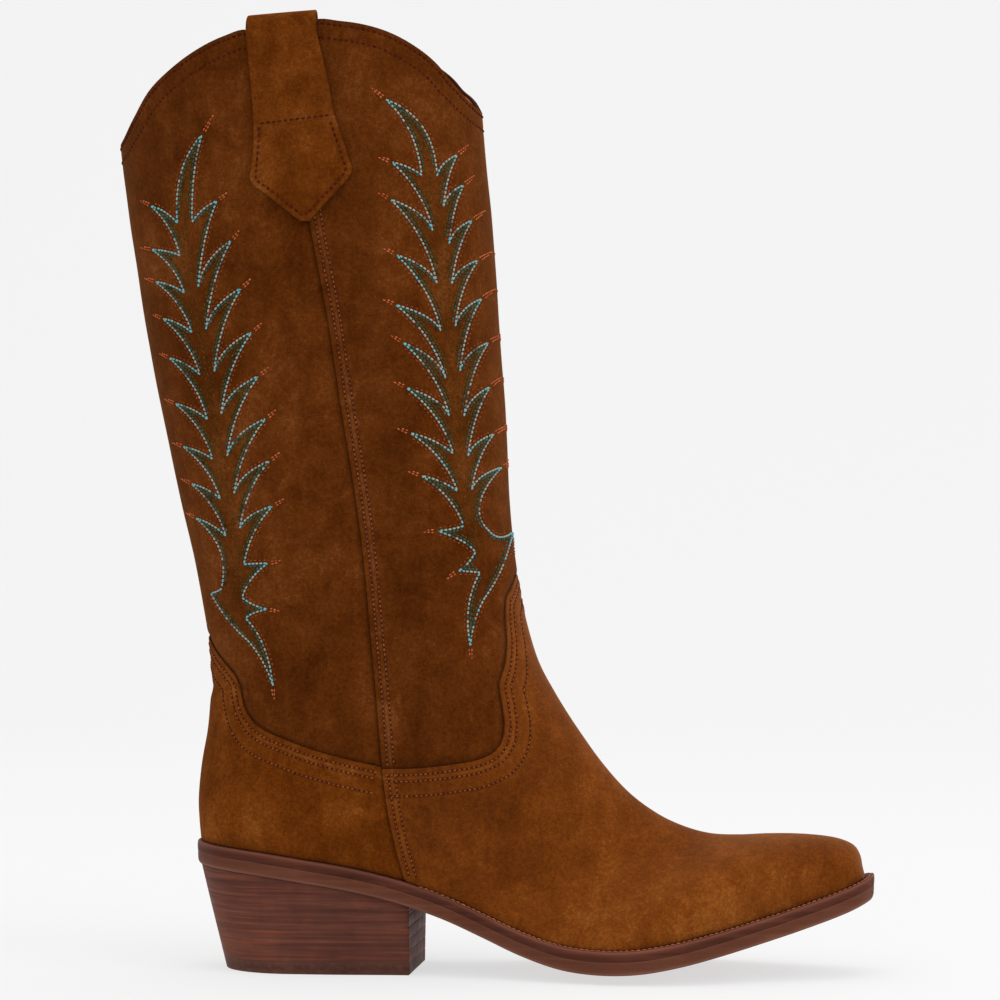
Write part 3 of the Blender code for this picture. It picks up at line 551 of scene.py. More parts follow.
# The needle holes are real, but the dark colour of these tubes is painted shade.
HOLE_SHADE = thread("needle_hole_shade", (0.040, 0.0085, 0.0028), (0.092, 0.0205, 0.0070))
TAN = thread("thread_tan", (0.20, 0.060, 0.024), (0.44, 0.165, 0.078))
WELT_LOOK = edge_leather("welt_edge", (0.036, 0.0084, 0.0044), (0.064, 0.0158, 0.0080),
                         (0.104, 0.0285, 0.0145), wear_and_highlight=(0.20, 0.068, 0.042), streaks=(2, 2, 40))
OUTSOLE_LOOK = edge_leather("outsole_edge", (0.080, 0.0225, 0.0105), (0.108, 0.0335, 0.0165),
                            (0.142, 0.047, 0.025), streaks=(2, 2, 40))
HEEL_LOOK = edge_leather("heel_stack", (0.050, 0.0148, 0.0098), (0.094, 0.0285, 0.0180),
                         (0.190, 0.053, 0.0265), streaks=(1.8, 1.8, 62), contrast=1.1)
RUBBER = edge_leather("top_lift_look", (0.042, 0.015, 0.010), (0.072, 0.027, 0.018), (0.105, 0.042, 0.028),
                      streaks=(30, 30, 40))
FIBRE = plain_board("fibre_board", (0.30, 0.22, 0.13), (0.52, 0.42, 0.29))
CORK = plain_board("ground_cork", (0.16, 0.08, 0.035), (0.50, 0.31, 0.16), 420, 0.95)
STEEL = plain_board("plain_steel", (0.42, 0.42, 0.43), (0.62, 0.62, 0.64), 900, 0.38, 1.0)


def dress(obj, look):
    obj.data.materials.clear()
    obj.data.materials.append(look)
    return obj


# ---------------- upper: outer panels

SKIVED, UNDER = 1.05, 0.95      # thickness of a panel, and how deep an overlapped one lies
GRAIN = 1.7   # spacing of the grids, mm
FRONT_RUN = np.linspace(-90, 90, 181)
BACK_RUN = np.linspace(90, 270, 181)
VAMP_TOP = surface(vamp_line(fold(FRONT_RUN)), FRONT_RUN)
COUNTER_TOP = surface(counter_line(fold(BACK_RUN)), BACK_RUN)
DOWN_RUN = np.linspace(0, CORNER, 160)
SEAMS = [surface(DOWN_RUN, 90), surface(DOWN_RUN, -90)]
LAP_PSI = [90, 90.3, 90.8, 91.5, 92.4, 93.5, 266.5, 267.6, 268.5, 269.2, 269.7, 270]


def to_seams(points):
    return np.minimum(to_line(points, SEAMS[0]), to_line(points, SEAMS[1]))


def laid_out(psis, top, bottom, near_top=NEAR, spacing=GRAIN):
    """s, psi and points of a panel's grid, for columns at psis from the top line to the bottom one."""
    s = panel_grid(psis, top, bottom, near_top, FEW, spacing)
    psi = np.broadcast_to(psis, s.shape)
    return s, psi, surface(s, psi)


def rear_columns(mm_per_degree):
    """Columns of a rear panel, which runs on 10 degrees under the front one at both side seams."""
    return np.unique(np.concatenate([columns_between(80, 280, FEW, FEW, GRAIN, mm_per_degree), LAP_PSI]))


def finish_panel(name, s, psi, depth, pull, values, look):
    base, n = surface(s, psi), outward(s, psi)
    points = base + n * (undulation(base) - depth - pull)[..., None]
    return dress(shell(name + "_suede", points, n, SKIVED, (name,), values), look)


def ridge(d, third=False):
    """The leather is paler between and beside its stitch rows: partly rubbed wear, partly a painted highlight
    on the raised strip.
    """
    pale = 0.9 * bell(d, 3.8, 2.0)
    return np.maximum(pale, 0.55 * bell(d, 10.6, 1.5)) if third else pale


# Painted shade along stitch rows, where the needle holes and the thread's grooves lie.
def stitch_row_shade(d, *rows):
    return 0.24 * sum(bell(d, at, 0.42) for at in rows)


def shade(d, reach):
    """Painted shade beside a line, which fades with distance."""
    return np.exp(-d / reach)


def tucked(d, width=3.2):
    """1 where a panel lies under the edge of another, and 0 from width mm beyond that edge."""
    return 1 - smoothstep((d - 0.3) / width)


def rim_pull(d):
    return 0.22 * bell(d, RIM_ROWS[0], 0.6) + 0.22 * bell(d, RIM_ROWS[1], 0.7)


def front_shaft():
    """It laps over the back at the side seams and runs under the vamp."""
    psis = columns_between(-90, 90, NEAR, NEAR, GRAIN)
    a = fold(psis)
    low = vamp_line(a) + 0.05 + 0.2 * (1 - smoothstep((a - 50) / 20))
    s, psi, p = laid_out(psis, rim_line(psis), low)
    top_d, seam_d, vamp_d = to_line(p, p[0]), to_seams(p), to_line(p, VAMP_TOP)
    inside = s < vamp_line(fold(psi))
    depth = UNDER * np.where(inside, tucked(vamp_d), 1)
    # Dark value: painted shade under the vamp's lap and in the needle holes along the stitch rows, a dark
    # line at the rim's edge, and a broad darker band beside each side seam.
    marks = 0.9 * shade(top_d, 0.45) + stitch_row_shade(seam_d, *ROWS) + stitch_row_shade(top_d, *RIM_ROWS)
    marks += 0.14 * bell(seam_d, 17, 11)
    values = {"band": np.maximum(ridge(seam_d), 0.3 * bell(top_d, 0, 3)),
              "dark": np.maximum(np.where(inside, shade(vamp_d, 0.65), 1), marks)}
    finish_panel("front_shaft_panel", s, psi, depth, rows_of_thread(seam_d) + rim_pull(top_d), values,
                 SUEDE)


def back_shaft():
    """It runs under the front at both sides and under the counter."""
    psis = rear_columns(1.3)
    a = fold(psis)
    low = counter_line(np.maximum(a, 90)) - 0.03 + 0.33 * smoothstep((a - 92) / 12)
    s, psi, p = laid_out(psis, rim_line(psis), low)
    top_d, seam_d, counter_d = to_line(p, p[0]), to_seams(p), to_line(p, COUNTER_TOP)
    behind = fold(psi) > 90
    inside = s < counter_line(np.maximum(fold(psi), 90))
    side = np.where(behind, tucked(seam_d, 3.4), 1)
    under = np.where(inside, tucked(counter_d), 1)
    deeper = np.where(behind, 0, smoothstep(1 - counter_d / 12))
    depth = UNDER * (1 - (1 - side) * (1 - under)) + UNDER * deeper
    # Dark value: painted shade under the front panel's laps at the side seams and under the counter, and in
    # the needle holes of the rim's rows, with a dark line at the rim's edge.
    laps = np.maximum(np.where(behind, shade(seam_d, 0.65), 1), np.where(inside, shade(counter_d, 0.65), 1))
    values = {"band": 0.3 * bell(top_d, 0, 3),
              "dark": np.maximum(laps, 0.9 * shade(top_d, 0.45) + stitch_row_shade(top_d, *RIM_ROWS))}
    finish_panel("back_shaft_panel", s, psi, depth, rim_pull(top_d), values, SUEDE)


def vamp():
    """It laps over the shaft and the counter, and runs down to the welt."""
    psis = columns_between(-90, 90, NEAR, NEAR, GRAIN)
    s, psi, p = laid_out(psis, vamp_line(fold(psis)), np.full(len(psis), float(LAST)), spacing=GRAIN * 1.1)
    top_d = to_line(p, VAMP_TOP)
    seam_d = np.where(s < CORNER + 2, to_seams(p), 50)
    side = np.linspace(CORNER, LAST, 140)
    feather_d = to_line(p, np.concatenate([surface(side, 90), surface(LAST, np.linspace(90, -90, 60)),
                                           surface(side[::-1], -90)]))
    pull = rows_of_thread(top_d, True) + np.where(s < CORNER, rows_of_thread(seam_d), 0)
    ridges = np.maximum(ridge(top_d, True), ridge(seam_d))
    # Dark value: painted shade in the crease at the welt and in the needle holes along the stitch rows; the
    # band makes it paler near the welt.
    values = {"band": np.maximum(ridges, 0.35 * (1 - smoothstep((feather_d - 8) / 22))),
              "dark": 0.45 * shade(feather_d, 0.6) + stitch_row_shade(top_d, *ROWS, THIRD_ROW) + stitch_row_shade(seam_d, *ROWS)}
    finish_panel("vamp", s, psi, 0, pull, values, VAMP_SUEDE)


def heel_counter():
    """It laps over the back of the shaft, and its front ends run under the vamp."""
    psis = rear_columns(1.2)
    a = fold(psis)
    top = counter_line(np.maximum(a, 90)) + np.where(a < 90, 0.12, 0)
    s, psi, p = laid_out(psis, top, np.full(len(psis), float(CORNER)))
    top_d, seam_d = to_line(p, COUNTER_TOP), to_seams(p)
    feather_d = to_line(p, surface(CORNER, np.linspace(90, 270, 120)))
    behind = fold(psi) > 90
    depth = UNDER * np.where(behind, tucked(seam_d, 3.4), 1)
    pull = np.where(behind, rows_of_thread(top_d, True), 0)
    # Dark value: painted shade under the front panel at the side seams, in the crease at the welt and in the
    # needle holes along the stitch rows.
    values = {"band": np.maximum(ridge(top_d, True), 0.3 * (1 - smoothstep((feather_d - 6) / 16))),
              "dark": np.maximum(np.where(behind, shade(seam_d, 0.65), 1),
                                 0.9 * shade(feather_d, 0.9) + stitch_row_shade(top_d, *ROWS, THIRD_ROW))}
    finish_panel("heel_counter_cover", s, psi, depth, pull, values, COUNTER_SUEDE)


front_shaft()
back_shaft()
vamp()
heel_counter()

# ---------------- lining

LINING_DEPTH, LAP, LINING_THICK = 1.8, 1.75, 0.9    # mm; LAP is how much deeper it lies under a lap
SPLIT = 8.6                                         # the s where the shaft's lining ends


def lining_depth(s, psi):
    a = fold(psi)
    rear = a > 90
    seam = np.where(rear, 1 - smoothstep((a - 106) / 10),
                    (1 - smoothstep((78 - a) / 12)) * (1 - smoothstep((s - 13.2) / 1.3)))
    lap = np.where(rear, smoothstep((s - counter_line(a) + 1.6) / 0.7),
                   1 - smoothstep((np.abs(s - vamp_line(a)) - 1.0) / 0.8))
    toe = np.where(rear, 0, 0.66 * smoothstep((s - 16.8) / 1.2))
    return LINING_DEPTH + LAP * (1 - (1 - seam) * (1 - lap) * (1 - toe))


def lining(name, psis, top, bottom):
    level = np.zeros(len(psis))
    s, psi, base = laid_out(psis, level + top, level + bottom, FEW, GRAIN * 1.7)
    n = outward(s, psi)
    top_d, seam_d = to_line(base, base[0]), to_seams(base)
    points = base - n * (lining_depth(s, psi) - 0.2 * undulation(base))[..., None]
    rim_side = float("shaft" in name)
    # Painted shade along the side seams, and a dark line just below the paler rim facing on the shaft's
    # lining.
    values = {"band": rim_side * (1 - smoothstep((top_d - 4.5) / 0.8)),
              "dark": np.maximum(rim_side * bell(top_d, 5.4, 0.6), shade(seam_d, 0.5))}
    return dress(shell(name + "_leather", points, n, LINING_THICK, (name,), values, roll=0.3), LINING)


LINING_FRONT, LINING_BACK = np.linspace(-89.7, 89.7, 101), np.linspace(90.3, 269.7, 101)
lining("front_shaft_lining", LINING_FRONT, rim_line(LINING_FRONT) + 0.015, SPLIT - 0.02)
lining("back_shaft_lining", LINING_BACK, rim_line(LINING_BACK) + 0.015, SPLIT - 0.02)
lining("vamp_lining", LINING_FRONT, SPLIT, LAST)
lining("counter_lining", LINING_BACK, SPLIT, CORNER)

# ---------------- stitches


STITCH_SIDES = 6
# A stitch from end to end: place along its half length, height over the leather and size, in radii.
STITCH = [(-1.0, -0.75, 0.45), (-0.72, 0.25, 0.9), (0.0, None, 1.0), (0.72, 0.25, 0.9), (1.0, -0.75, 0.45)]


def stitches(name, runs, pitch, length, radius, look, lift=0.55, phase=0.0, spread=0.16):
    """Separate arched stitches along runs of (points, normals) or (points, normals, tones), as one mesh."""
    rng = np.random.default_rng(len(name) * 7 + len(runs))
    centres, ways, ups, tones = [], [], [], []
    for points, normals, *tone in runs:
        at = np.concatenate([[0], np.linalg.norm(np.diff(points, axis=0), axis=1).cumsum()])
        start = np.arange(pitch * phase, at[-1] - length * 0.7, pitch)
        if not len(start):
            start = np.array([0.0])
        ends = np.minimum(start + length, at[-1])
        p0, p1, n = (np.stack([np.interp(places, at, values[:, k]) for k in range(3)], -1)
                     for places, values in ((start, points), (ends, points), ((start + ends) / 2, normals)))
        centres.append((p0 + p1) / 2)
        ways.append((p1 - p0) / 2)
        ups.append(n)
        own = np.interp(start, at, tone[0]) if tone else 0.5
        tones.append(np.clip(own + rng.normal(0, spread, len(start)), 0, 1))
    c, w, n = np.concatenate(centres), np.concatenate(ways), np.concatenate(ups)
    n /= np.linalg.norm(n, axis=1, keepdims=True)
    side = np.cross(w, n)
    side /= np.maximum(np.linalg.norm(side, axis=1, keepdims=True), 1e-9)
    verts = []
    for place, height, size in STITCH:
        middle = c + w * place + n * ((lift if height is None else height) * radius)
        reach = radius * size
        for turn in np.linspace(0, 2 * math.pi, STITCH_SIDES, endpoint=False):
            verts.append(middle + side * (reach * math.cos(turn)) + n * (reach * math.sin(turn)))
    verts = np.stack(verts, 1)
    per = len(STITCH) * STITCH_SIDES
    first = np.arange(len(c)) * per
    one = grid(len(STITCH), STITCH_SIDES, closed=True)
    faces = (one[None] + first[:, None, None]).reshape(-1, 4).tolist()
    for end in (range(STITCH_SIDES - 1, -1, -1), range(per - STITCH_SIDES, per)):
        faces += [tuple(i + k for i in end) for k in first.tolist()]
    values = {"tone": np.repeat(np.concatenate(tones), per)}
    return dress(build(name, verts.reshape(-1, 3), faces, (), values), look)


def sewn(name, runs, pitch, length, radius, look, phase):
    """A row of stitches, with dark sunk tubes between them for the needle holes, coloured as painted shade.
    """
    stitches(name, runs, pitch, length, radius, look, phase=phase)
    stitches(name + "_holes", runs, pitch, pitch - length + 0.16, radius * 1.12, HOLE_SHADE, lift=-0.25,
             phase=phase + (length - 0.08) / pitch)


def laid(s, psi, depth):
    """Points and normals on the finished panel surface, or depth mm into it."""
    base, n = surface(s, psi), outward(s, psi)
    return base + n * (undulation(base) - depth)[:, None], n


def beside(s, psi, distance):
    """The line (s, psi) moved sideways on the surface by distance mm, to its left seen from outside."""
    p, n = surface(s, psi), outward(s, psi)
    t = np.gradient(p, axis=0)
    t /= np.linalg.norm(t, axis=1, keepdims=True)
    out_s, out_psi = np.array(s, float), np.array(psi, float)
    for part in (0.5, 1.0):
        out_s, out_psi = locate(p + np.cross(n, t) * distance * part, out_s, out_psi)
    return out_s, out_psi


def row(s, psi, distance):
    """A stitch row beside a line, sunk a little into the leather."""
    return laid(*beside(s, psi, distance), 0.12)


def down_seams(start, end, count, distance):
    """A stitch row beside each side seam, on the front panel's side of it."""
    down = np.linspace(start, end, count)
    return [row(down, np.full(count, side), sign * distance) for side, sign in ((90, 1), (-90, -1))]


TOP_FRONT, TOP_BACK = np.linspace(-89, 89, 300), np.linspace(91, 269, 300)
SEAM_TOP, SEAM_LOW = float(rim(90)), float(vamp_line(90))
for k, d in enumerate(ROWS):
    sewn(f"side_seam_thread_{k + 1}", down_seams(SEAM_TOP + 0.03, SEAM_LOW - 0.08, 240, d), 1.95, 1.2, 0.34,
         PINKISH, phase=0.5 * k)
for k, d in enumerate((*ROWS, THIRD_ROW)):
    runs = [row(vamp_line(fold(TOP_FRONT)), TOP_FRONT, d)]
    if d in ROWS:
        runs += down_seams(SEAM_LOW + 0.1, CORNER - 0.15, 60, d)
    sewn(f"vamp_thread_{k + 1}", runs, 1.95, 1.2, 0.33, COPPER, phase=0.5 * (k % 2))
    sewn(f"counter_thread_{k + 1}", [row(counter_line(fold(TOP_BACK)), TOP_BACK, d)], 1.95, 1.2, 0.33, COPPER,
         phase=0.5 * (k % 2))
for k, d in enumerate(RIM_ROWS):
    runs = [row(rim_line(run), run, d) for run in (TOP_FRONT, TOP_BACK)]
    stitches(f"rim_thread_{k + 1}", runs, 2.3, 1.45, 0.34, BURGUNDY)

# ---------------- embroidery

# One stem up each half of each side, as (x, z) in the side view, with leaves in pairs: a notch at the
# stem, and how far the tip of its leaf reaches out and up.
REAR_STEM = [(-137.6, 303), (-135.6, 280), (-131.8, 259), (-128.2, 240), (-125.4, 221), (-123.4, 205),
             (-120.5, 190), (-118.6, 176), (-117.6, 160), (-119.8, 146)]
FRONT_STEM = [(-38.8, 322), (-34.6, 300), (-32.8, 280), (-31.2, 260), (-29.4, 240), (-27.8, 222),
              (-26.2, 206), (-24.6, 192), (-22.0, 179), (-17.6, 169)]
REAR_AHEAD = [(303, 11, 8), (277, 14.5, 18), (260, 15.5, 16), (243, 16.5, 15.5), (226, 16.5, 15),
              (209, 17, 15), (194, 15.5, 13), (180, 14.5, 9), (165.5, 10.5, 0.5), (152, 10.7, -4.5)]
REAR_BEHIND = [(303, -12, 7.5), (290, -13, 3), (275, -13.5, 5), (259, -13.5, 6), (242, -14, 7),
               (224, -15, 6.5), (208, -14, 5), (192, -13.5, 6), (177, -14, 7)]
FRONT_AHEAD = [(321, 7, 9), (309, 7, 9), (294, 8, 10), (278, 9, 10), (261, 9, 11.5), (243, 10, 12),
               (225, 9, 12), (209, 9, 9), (195.5, 10, 9)]
FRONT_BEHIND = [(321, -11.5, 5), (299, -16, 12), (278, -15.5, 11), (259, -17, 10), (240, -16, 14),
                (225, -16, 11), (210, -16, 8), (195, -13.5, 6), (181, -10, -2), (170.5, -6.5, -7.5)]


def bend(start, control, end, count=14):
    t = np.linspace(0, 1, count)[:, None]
    a, b, c = (np.array(v, float) for v in (start, control, end))
    return (1 - t) ** 2 * a + 2 * t * (1 - t) * b + t * t * c


def bends(start, *steps):
    """Arcs end to end, each given as its control point, its end and its count of points."""
    lines = []
    for control, end, count in steps:
        lines.append(bend(start, control, end, count))
        start = end
    return lines


def middle_of(stem):
    """x of a stem as a function of z."""
    return curve(sorted((z, x) for x, z in stem))


def leafy(stem, leaves, half, way, foot):
    """The outline down one side of a stem: up each leaf to its tip and back down to the next notch."""
    middle = middle_of(stem)
    spots = [(float(middle(z)) + way * half, z) for z, _, _ in leaves] + foot
    lines, tips = [], []
    for k, (z, out, up) in enumerate(leaves):
        x = spots[k][0]
        tip = (x + out, z + up)
        rise = (x + 0.16 * out, z + max(0.62 * up, 1.5)) if up > 8 else (x + 0.42 * out, z + 0.75 * up)
        line = bend((x, z), rise, tip)
        if k + 1 < len(spots):
            nx, nz = spots[k + 1]
            lower = bend(tip, (nx + 0.24 * (tip[0] - nx), nz + 0.60 * (tip[1] - nz)), (nx, nz), 18)
            line = np.concatenate([line, lower[1:]])
        lines.append(line)
        tips.append((tip, np.array([out, 0.72 * up + 1.2])))
    return lines, tips


def flat_to_surface(line, side):
    """(s, psi) on one side of the boot for points (x, z) of the side view."""
    x, z = line[:, 0], line[:, 1]
    table_s = np.linspace(0, 12, 241)
    s = np.interp(-z, -seam_z(table_s), table_s)
    ex, _, _ = side_line(s)
    ahead = x > ex
    reach = np.where(ahead, front_x(s), back_x(s)) - ex
    lean = np.degrees(np.arcsin(np.clip((x - ex) / reach, 0, 0.995)))
    psi = np.where(ahead, 90 - lean, 90 + lean)
    for _ in range(12):
        p = surface(s, psi)
        ds = (surface(s + 0.02, psi) - p) / 0.02
        dp = (surface(s, psi + 0.4) - p) / 0.4
        rx, rz = x - p[:, 0], z - p[:, 2]
        det = ds[:, 0] * dp[:, 2] - ds[:, 2] * dp[:, 0]
        det = np.where(np.abs(det) < 1e-3, 1e-3, det)
        s = np.clip(s + np.clip((rx * dp[:, 2] - rz * dp[:, 0]) / det, -0.6, 0.6), 0.1, 12.5)
        psi = np.clip(psi + np.clip((ds[:, 0] * rz - ds[:, 2] * rx) / det, -8, 8), 3, 177)
    return s, (psi if side > 0 else np.where(psi <= 90, -psi, 360 - psi))


def moved(line, distance):
    """A flat line moved sideways: to its left when distance is positive."""
    t = np.gradient(line, axis=0)
    t /= np.maximum(np.linalg.norm(t, axis=1, keepdims=True), 1e-9)
    return line + np.stack([-t[:, 1], t[:, 0]], -1) * distance


INSIDE, INMOST, OUTSIDE = 1.05, 0.95, 1.25      # steps between the rows of a leaf's outline, mm


def outline_sides(lines, way):
    """Every leaf line with a row just inside it and one just outside it."""
    inner, outer = [], []
    for line in lines:
        tip = int(np.argmax(way * line[:, 0] + 0.6 * line[:, 1]))
        for part in (line[:tip + 1], line[tip:]):
            if len(part) < 4:
                continue
            inner.append(moved(part[1:-1], -way * INSIDE))
            outer.append(moved(part[1:-1], way * OUTSIDE))
    return inner, outer


HEADS = [  # the single leaf at the head of each stem
    bends((-140.8, 303), ((-142.5, 325), (-129.5, 337.5), 20), ((-134.5, 322), (-134.2, 303), 20)),
    bends((-41.6, 322), ((-44, 341), (-55.2, 351), 20), ((-37.5, 345), (-35.9, 322), 20)),
]
FEET = [  # the last leaf of each stem, hanging to a point
    bends((-136, 184), ((-119.5, 173), (-124.8, 155.5), 20), ((-127, 154), (-130.1, 153.5), 8),
          ((-124, 143), (-113.5, 134.8), 18), ((-106, 127.5), (-102.5, 116.5), 14),
          ((-104.5, 135), (-114.1, 143.7), 20)),
    bends((-12.2, 204.5), ((-24.5, 188), (-16.5, 179.5), 20), ((-12.6, 174), (-8.6, 178), 10),
          ((-10, 163), (-17.4, 152.3), 18), ((-22, 144), (-22.8, 133), 14),
          ((-26, 150), (-19.3, 162.2), 20)),
]
# A pair of short stitches points away from each tip: where, and which way and how far.
sparks = [((-129.5, 337.5), (5.5, 8)), ((-55.2, 351), (-5.5, 5)), ((-102.5, 116.5), (0.3, -6)),
          ((-22.8, 133), (0.4, -6))]
pale, deep, inmost, echo, spark, dots, corners = [], [], [], [], [], [], []
# Each stem with the leaves ahead of it and behind it, the spots where they meet its foot, its half width,
# the leaf at its head and at its foot, and the side of that foot's lines that lies inside it.
for stem, ahead, ahead_foot, behind, behind_foot, half, head, foot, inside in (
        (REAR_STEM, REAR_AHEAD, [(-114.1, 143.7)], REAR_BEHIND, [], 3.3, HEADS[0], FEET[0], 1),
        (FRONT_STEM, FRONT_AHEAD, [], FRONT_BEHIND, [(-19.3, 162.2)], 2.7, HEADS[1], FEET[1], -1)):
    for leaves, way, spot in ((ahead, 1, ahead_foot), (behind, -1, behind_foot)):
        lines, tips = leafy(stem, leaves, half, way, spot)
        pale += lines
        inner, outer = outline_sides(lines, way)
        deep += inner
        inmost += [moved(line[4:-2], -way * INMOST) for line in inner if len(line) > 9]
        echo += outer
        corners += [line[0] for line in lines]
        for tip, aim in tips:
            corners.append(tip)
            sparks.append((tip, 6.4 * aim / np.linalg.norm(aim)))
    pale += head + foot
    for line, turn in [(line, -1) for line in head] + [(line, inside) for line in foot]:
        deep.append(moved(line[1:-1], INSIDE * turn))
        if len(line) > 12:
            inmost.append(moved(line[4:-4], 1.95 * turn))
        echo.append(moved(line[1:-1], -OUTSIDE * turn))
        corners += [line[0], line[-1]]
    middle = middle_of(stem)
    zs = np.linspace(stem[-1][1] + 4, stem[0][1] + 14, 60)
    for offset, wave in ((-1.5, 3.1), (0.0, 2.2), (1.5, 2.7)):
        dots.append(np.stack([middle(zs) + offset + 0.5 * np.sin(zs / wave), zs], -1))
for at, aim in sparks:
    at, aim = np.array(at, float), np.array(aim, float)
    across = np.array([-aim[1], aim[0]]) / np.linalg.norm(aim)
    for aside, start, stop in ((-0.55, 0.2, 0.75), (0.55, 0.2, 1.0)):
        one, two = at + aim * start + across * aside, at + aim * stop + across * aside * 0.5
        spark.append(bend(one, (one + two) / 2, two, 6))
corners = np.array(corners)
# The outline's thread is palest at the notches and the tips.
pale_tones = [0.42 + 0.46 * bell(np.linalg.norm(line[:, None] - corners, axis=-1).min(1), 0, 3.2)
              for line in pale]


def on_both_sides(lines, depth, tones=None):
    """Runs of surface points, normals and tones for flat lines, on the outer and on the inner side."""
    ends = np.cumsum([len(line) for line in lines])[:-1]
    together = np.concatenate(lines)
    runs = []
    for side in (1, -1):
        points, normals = laid(*flat_to_surface(together, side), depth)
        parts = [np.split(points, ends), np.split(normals, ends)]
        runs += zip(*parts, tones) if tones else zip(*parts)
    return runs


stitches("leaf_outline_thread", on_both_sides(pale, 0.0, pale_tones), 1.8, 1.4, 0.42, TURQUOISE,
         spread=0.2)
for name, lines, depth, pitch, length, radius, look in (
        ("leaf_inner_thread", deep, 0.04, 1.7, 1.3, 0.42, GREEN),
        ("leaf_inmost_thread", inmost, 0.08, 1.6, 1.3, 0.36, OLIVE),
        ("leaf_echo_thread", echo, 0.06, 2.1, 1.0, 0.3, RUST),
        ("leaf_tip_thread", spark, 0.05, 1.6, 1.15, 0.30, ORANGE),
        ("stem_thread", dots, 0.1, 2.3, 1.0, 0.30, OLIVE)):
    stitches(name, on_both_sides(lines, depth), pitch, length, radius, look)

# ---------------- pull straps

STRAP_THICK, GAP = 1.8, 0.35
ARCH, ARCH_DROP = 384.9, 1.9    # height of the inside of the fold, and how much lower its rear edge is
BOW = 1.9                       # how far the strap stands off the rim, mm
HOLD = 46                       # the grid's row where a line of stitches holds the tab
TAB_ROW = 2.5                   # the tab's stitch row, mm in from its border
strap_curves = [along(STRAP_ROWS, k) for k in range(4)]
STRAP_LAST = len(STRAP_ROWS) - 1
STRAP_ACROSS = np.concatenate([[0, 0.01, 0.025, 0.05, 0.085], np.linspace(0.12, 0.88, 30),
                               [0.915, 0.95, 0.975, 0.99, 1]])


def strap_line(t, side):
    """(s, psi, bow) across a strap at place t from its tab up."""
    left, s_left, right, s_right = (f(t) for f in strap_curves)
    s = s_left + (s_right - s_left) * STRAP_ACROSS
    return s, side * (left + (right - left) * STRAP_ACROSS), BOW * smoothstep((1.0 - s) / 0.8)


def strap_sheet(side):
    """The inner face of a pull strap, from the pointed tab over the rim and down inside."""
    rows, inside, arch = [], [], []
    for t in np.concatenate([[0, 0.02, 0.05, 0.1, 0.2, 0.33], np.linspace(0.5, STRAP_LAST, 64)]):
        s, psi, bow = strap_line(t, side)
        base = surface(s, psi)
        near = np.clip(undulation(base), 0, 1) * smoothstep((s - 0.8) / 0.3)
        rows.append(base + outward(s, psi) * (GAP + 0.05 + bow + near)[:, None])
    for t in np.linspace(STRAP_LAST, 6, 18):
        s, psi, bow = strap_line(t, side)
        under = lining_depth(s, psi) + LINING_THICK + GAP + 0.1 + bow
        inside.append(surface(s, psi) - outward(s, psi) * under[:, None])
    middle, reach = (rows[-1] + inside[0]) / 2, (rows[-1] - inside[0]) / 2
    for t in np.linspace(0, 1, 26)[1:-1]:
        wide = math.copysign(abs(math.cos(math.pi * t)) ** 0.6, 0.5 - t)
        lift = (ARCH - ARCH_DROP * (1 - STRAP_ACROSS) - middle[:, 2]) * math.sin(math.pi * t) ** 0.6
        arch.append(middle + reach * wide + np.stack([0 * lift, 0 * lift, lift], -1))
    return np.array(rows + arch + inside)


def grid_normals(points):
    n = np.cross(np.gradient(points, axis=1), np.gradient(points, axis=0))
    return n / np.maximum(np.linalg.norm(n, axis=-1, keepdims=True), 1e-9)


def round_tab(outer, n, border):
    """The stitch row round the tab: down one side to the point and up the other."""
    columns, sides = outer.shape[1], []
    for across in (np.arange(columns // 2), np.arange(columns - 1, columns // 2, -1)):
        points, normals = [], []
        for r in range(HOLD - 1, 1, -1):
            d = border[r, across]
            if d.max() < TAB_ROW:
                break
            k = np.interp(TAB_ROW, np.maximum.accumulate(d), np.arange(len(across)))
            low, part = int(k), k - int(k)
            high = min(low + 1, len(across) - 1)
            points.append(outer[r, across[low]] * (1 - part) + outer[r, across[high]] * part)
            normals.append(n[r, across[low]])
        sides.append((np.array(points), np.array(normals)))
    (one, one_n), (two, two_n) = sides
    return np.concatenate([one, two[::-1]]), np.concatenate([one_n, two_n[::-1]])


def pull_strap(side, word):
    """One strap: its tab lies flat as far as the line of stitches that holds it, then it stands free."""
    inner = strap_sheet(side)
    n = grid_normals(inner)
    if np.sign(n[20, 20, 1]) != -side:
        n = -n
    flat = inner + n * STRAP_THICK
    tab = np.arange(len(flat))[:, None] < HOLD
    hold_d = to_line(flat, flat[HOLD])
    side_d = np.minimum(*(np.linalg.norm(flat - flat[:, [end]], axis=-1) for end in (0, -1)))
    border = to_line(flat, np.concatenate([flat[HOLD::-1, 0], flat[0, 1:-1], flat[:HOLD + 1, -1]]))
    pull = 0.3 * bell(hold_d, 0, 0.8) + np.where(tab, 0.2 * bell(border, TAB_ROW, 0.7), 0)
    outer = flat - n * pull[..., None]
    # Painted shadow just below the stitch line that holds the tab, and painted shade along the strap's two
    # long edges; the band makes the tab paler at its border.
    values = {"band": 0.15 + 0.3 * bell(np.where(tab, border, 20), 0, 3),
              "dark": np.maximum(np.where(tab, 0.6 * bell(hold_d, 0.8, 0.5), 0), 0.35 * shade(side_d, 0.35))}
    dress(shell(f"pull_strap_{word}_suede", outer, n, STRAP_THICK - 0.1,
                (f"pull_strap_{word}",), values, roll=0.6, flip=side < 0), STRAP)
    runs = [(outer[HOLD, 4:-4], n[HOLD, 4:-4]), round_tab(outer, n, border)]
    stitches(f"strap_thread_{word}", runs, 2.4, 1.6, 0.38, BURGUNDY)


pull_strap(1, "lateral")
pull_strap(-1, "medial")

# ---------------- sole

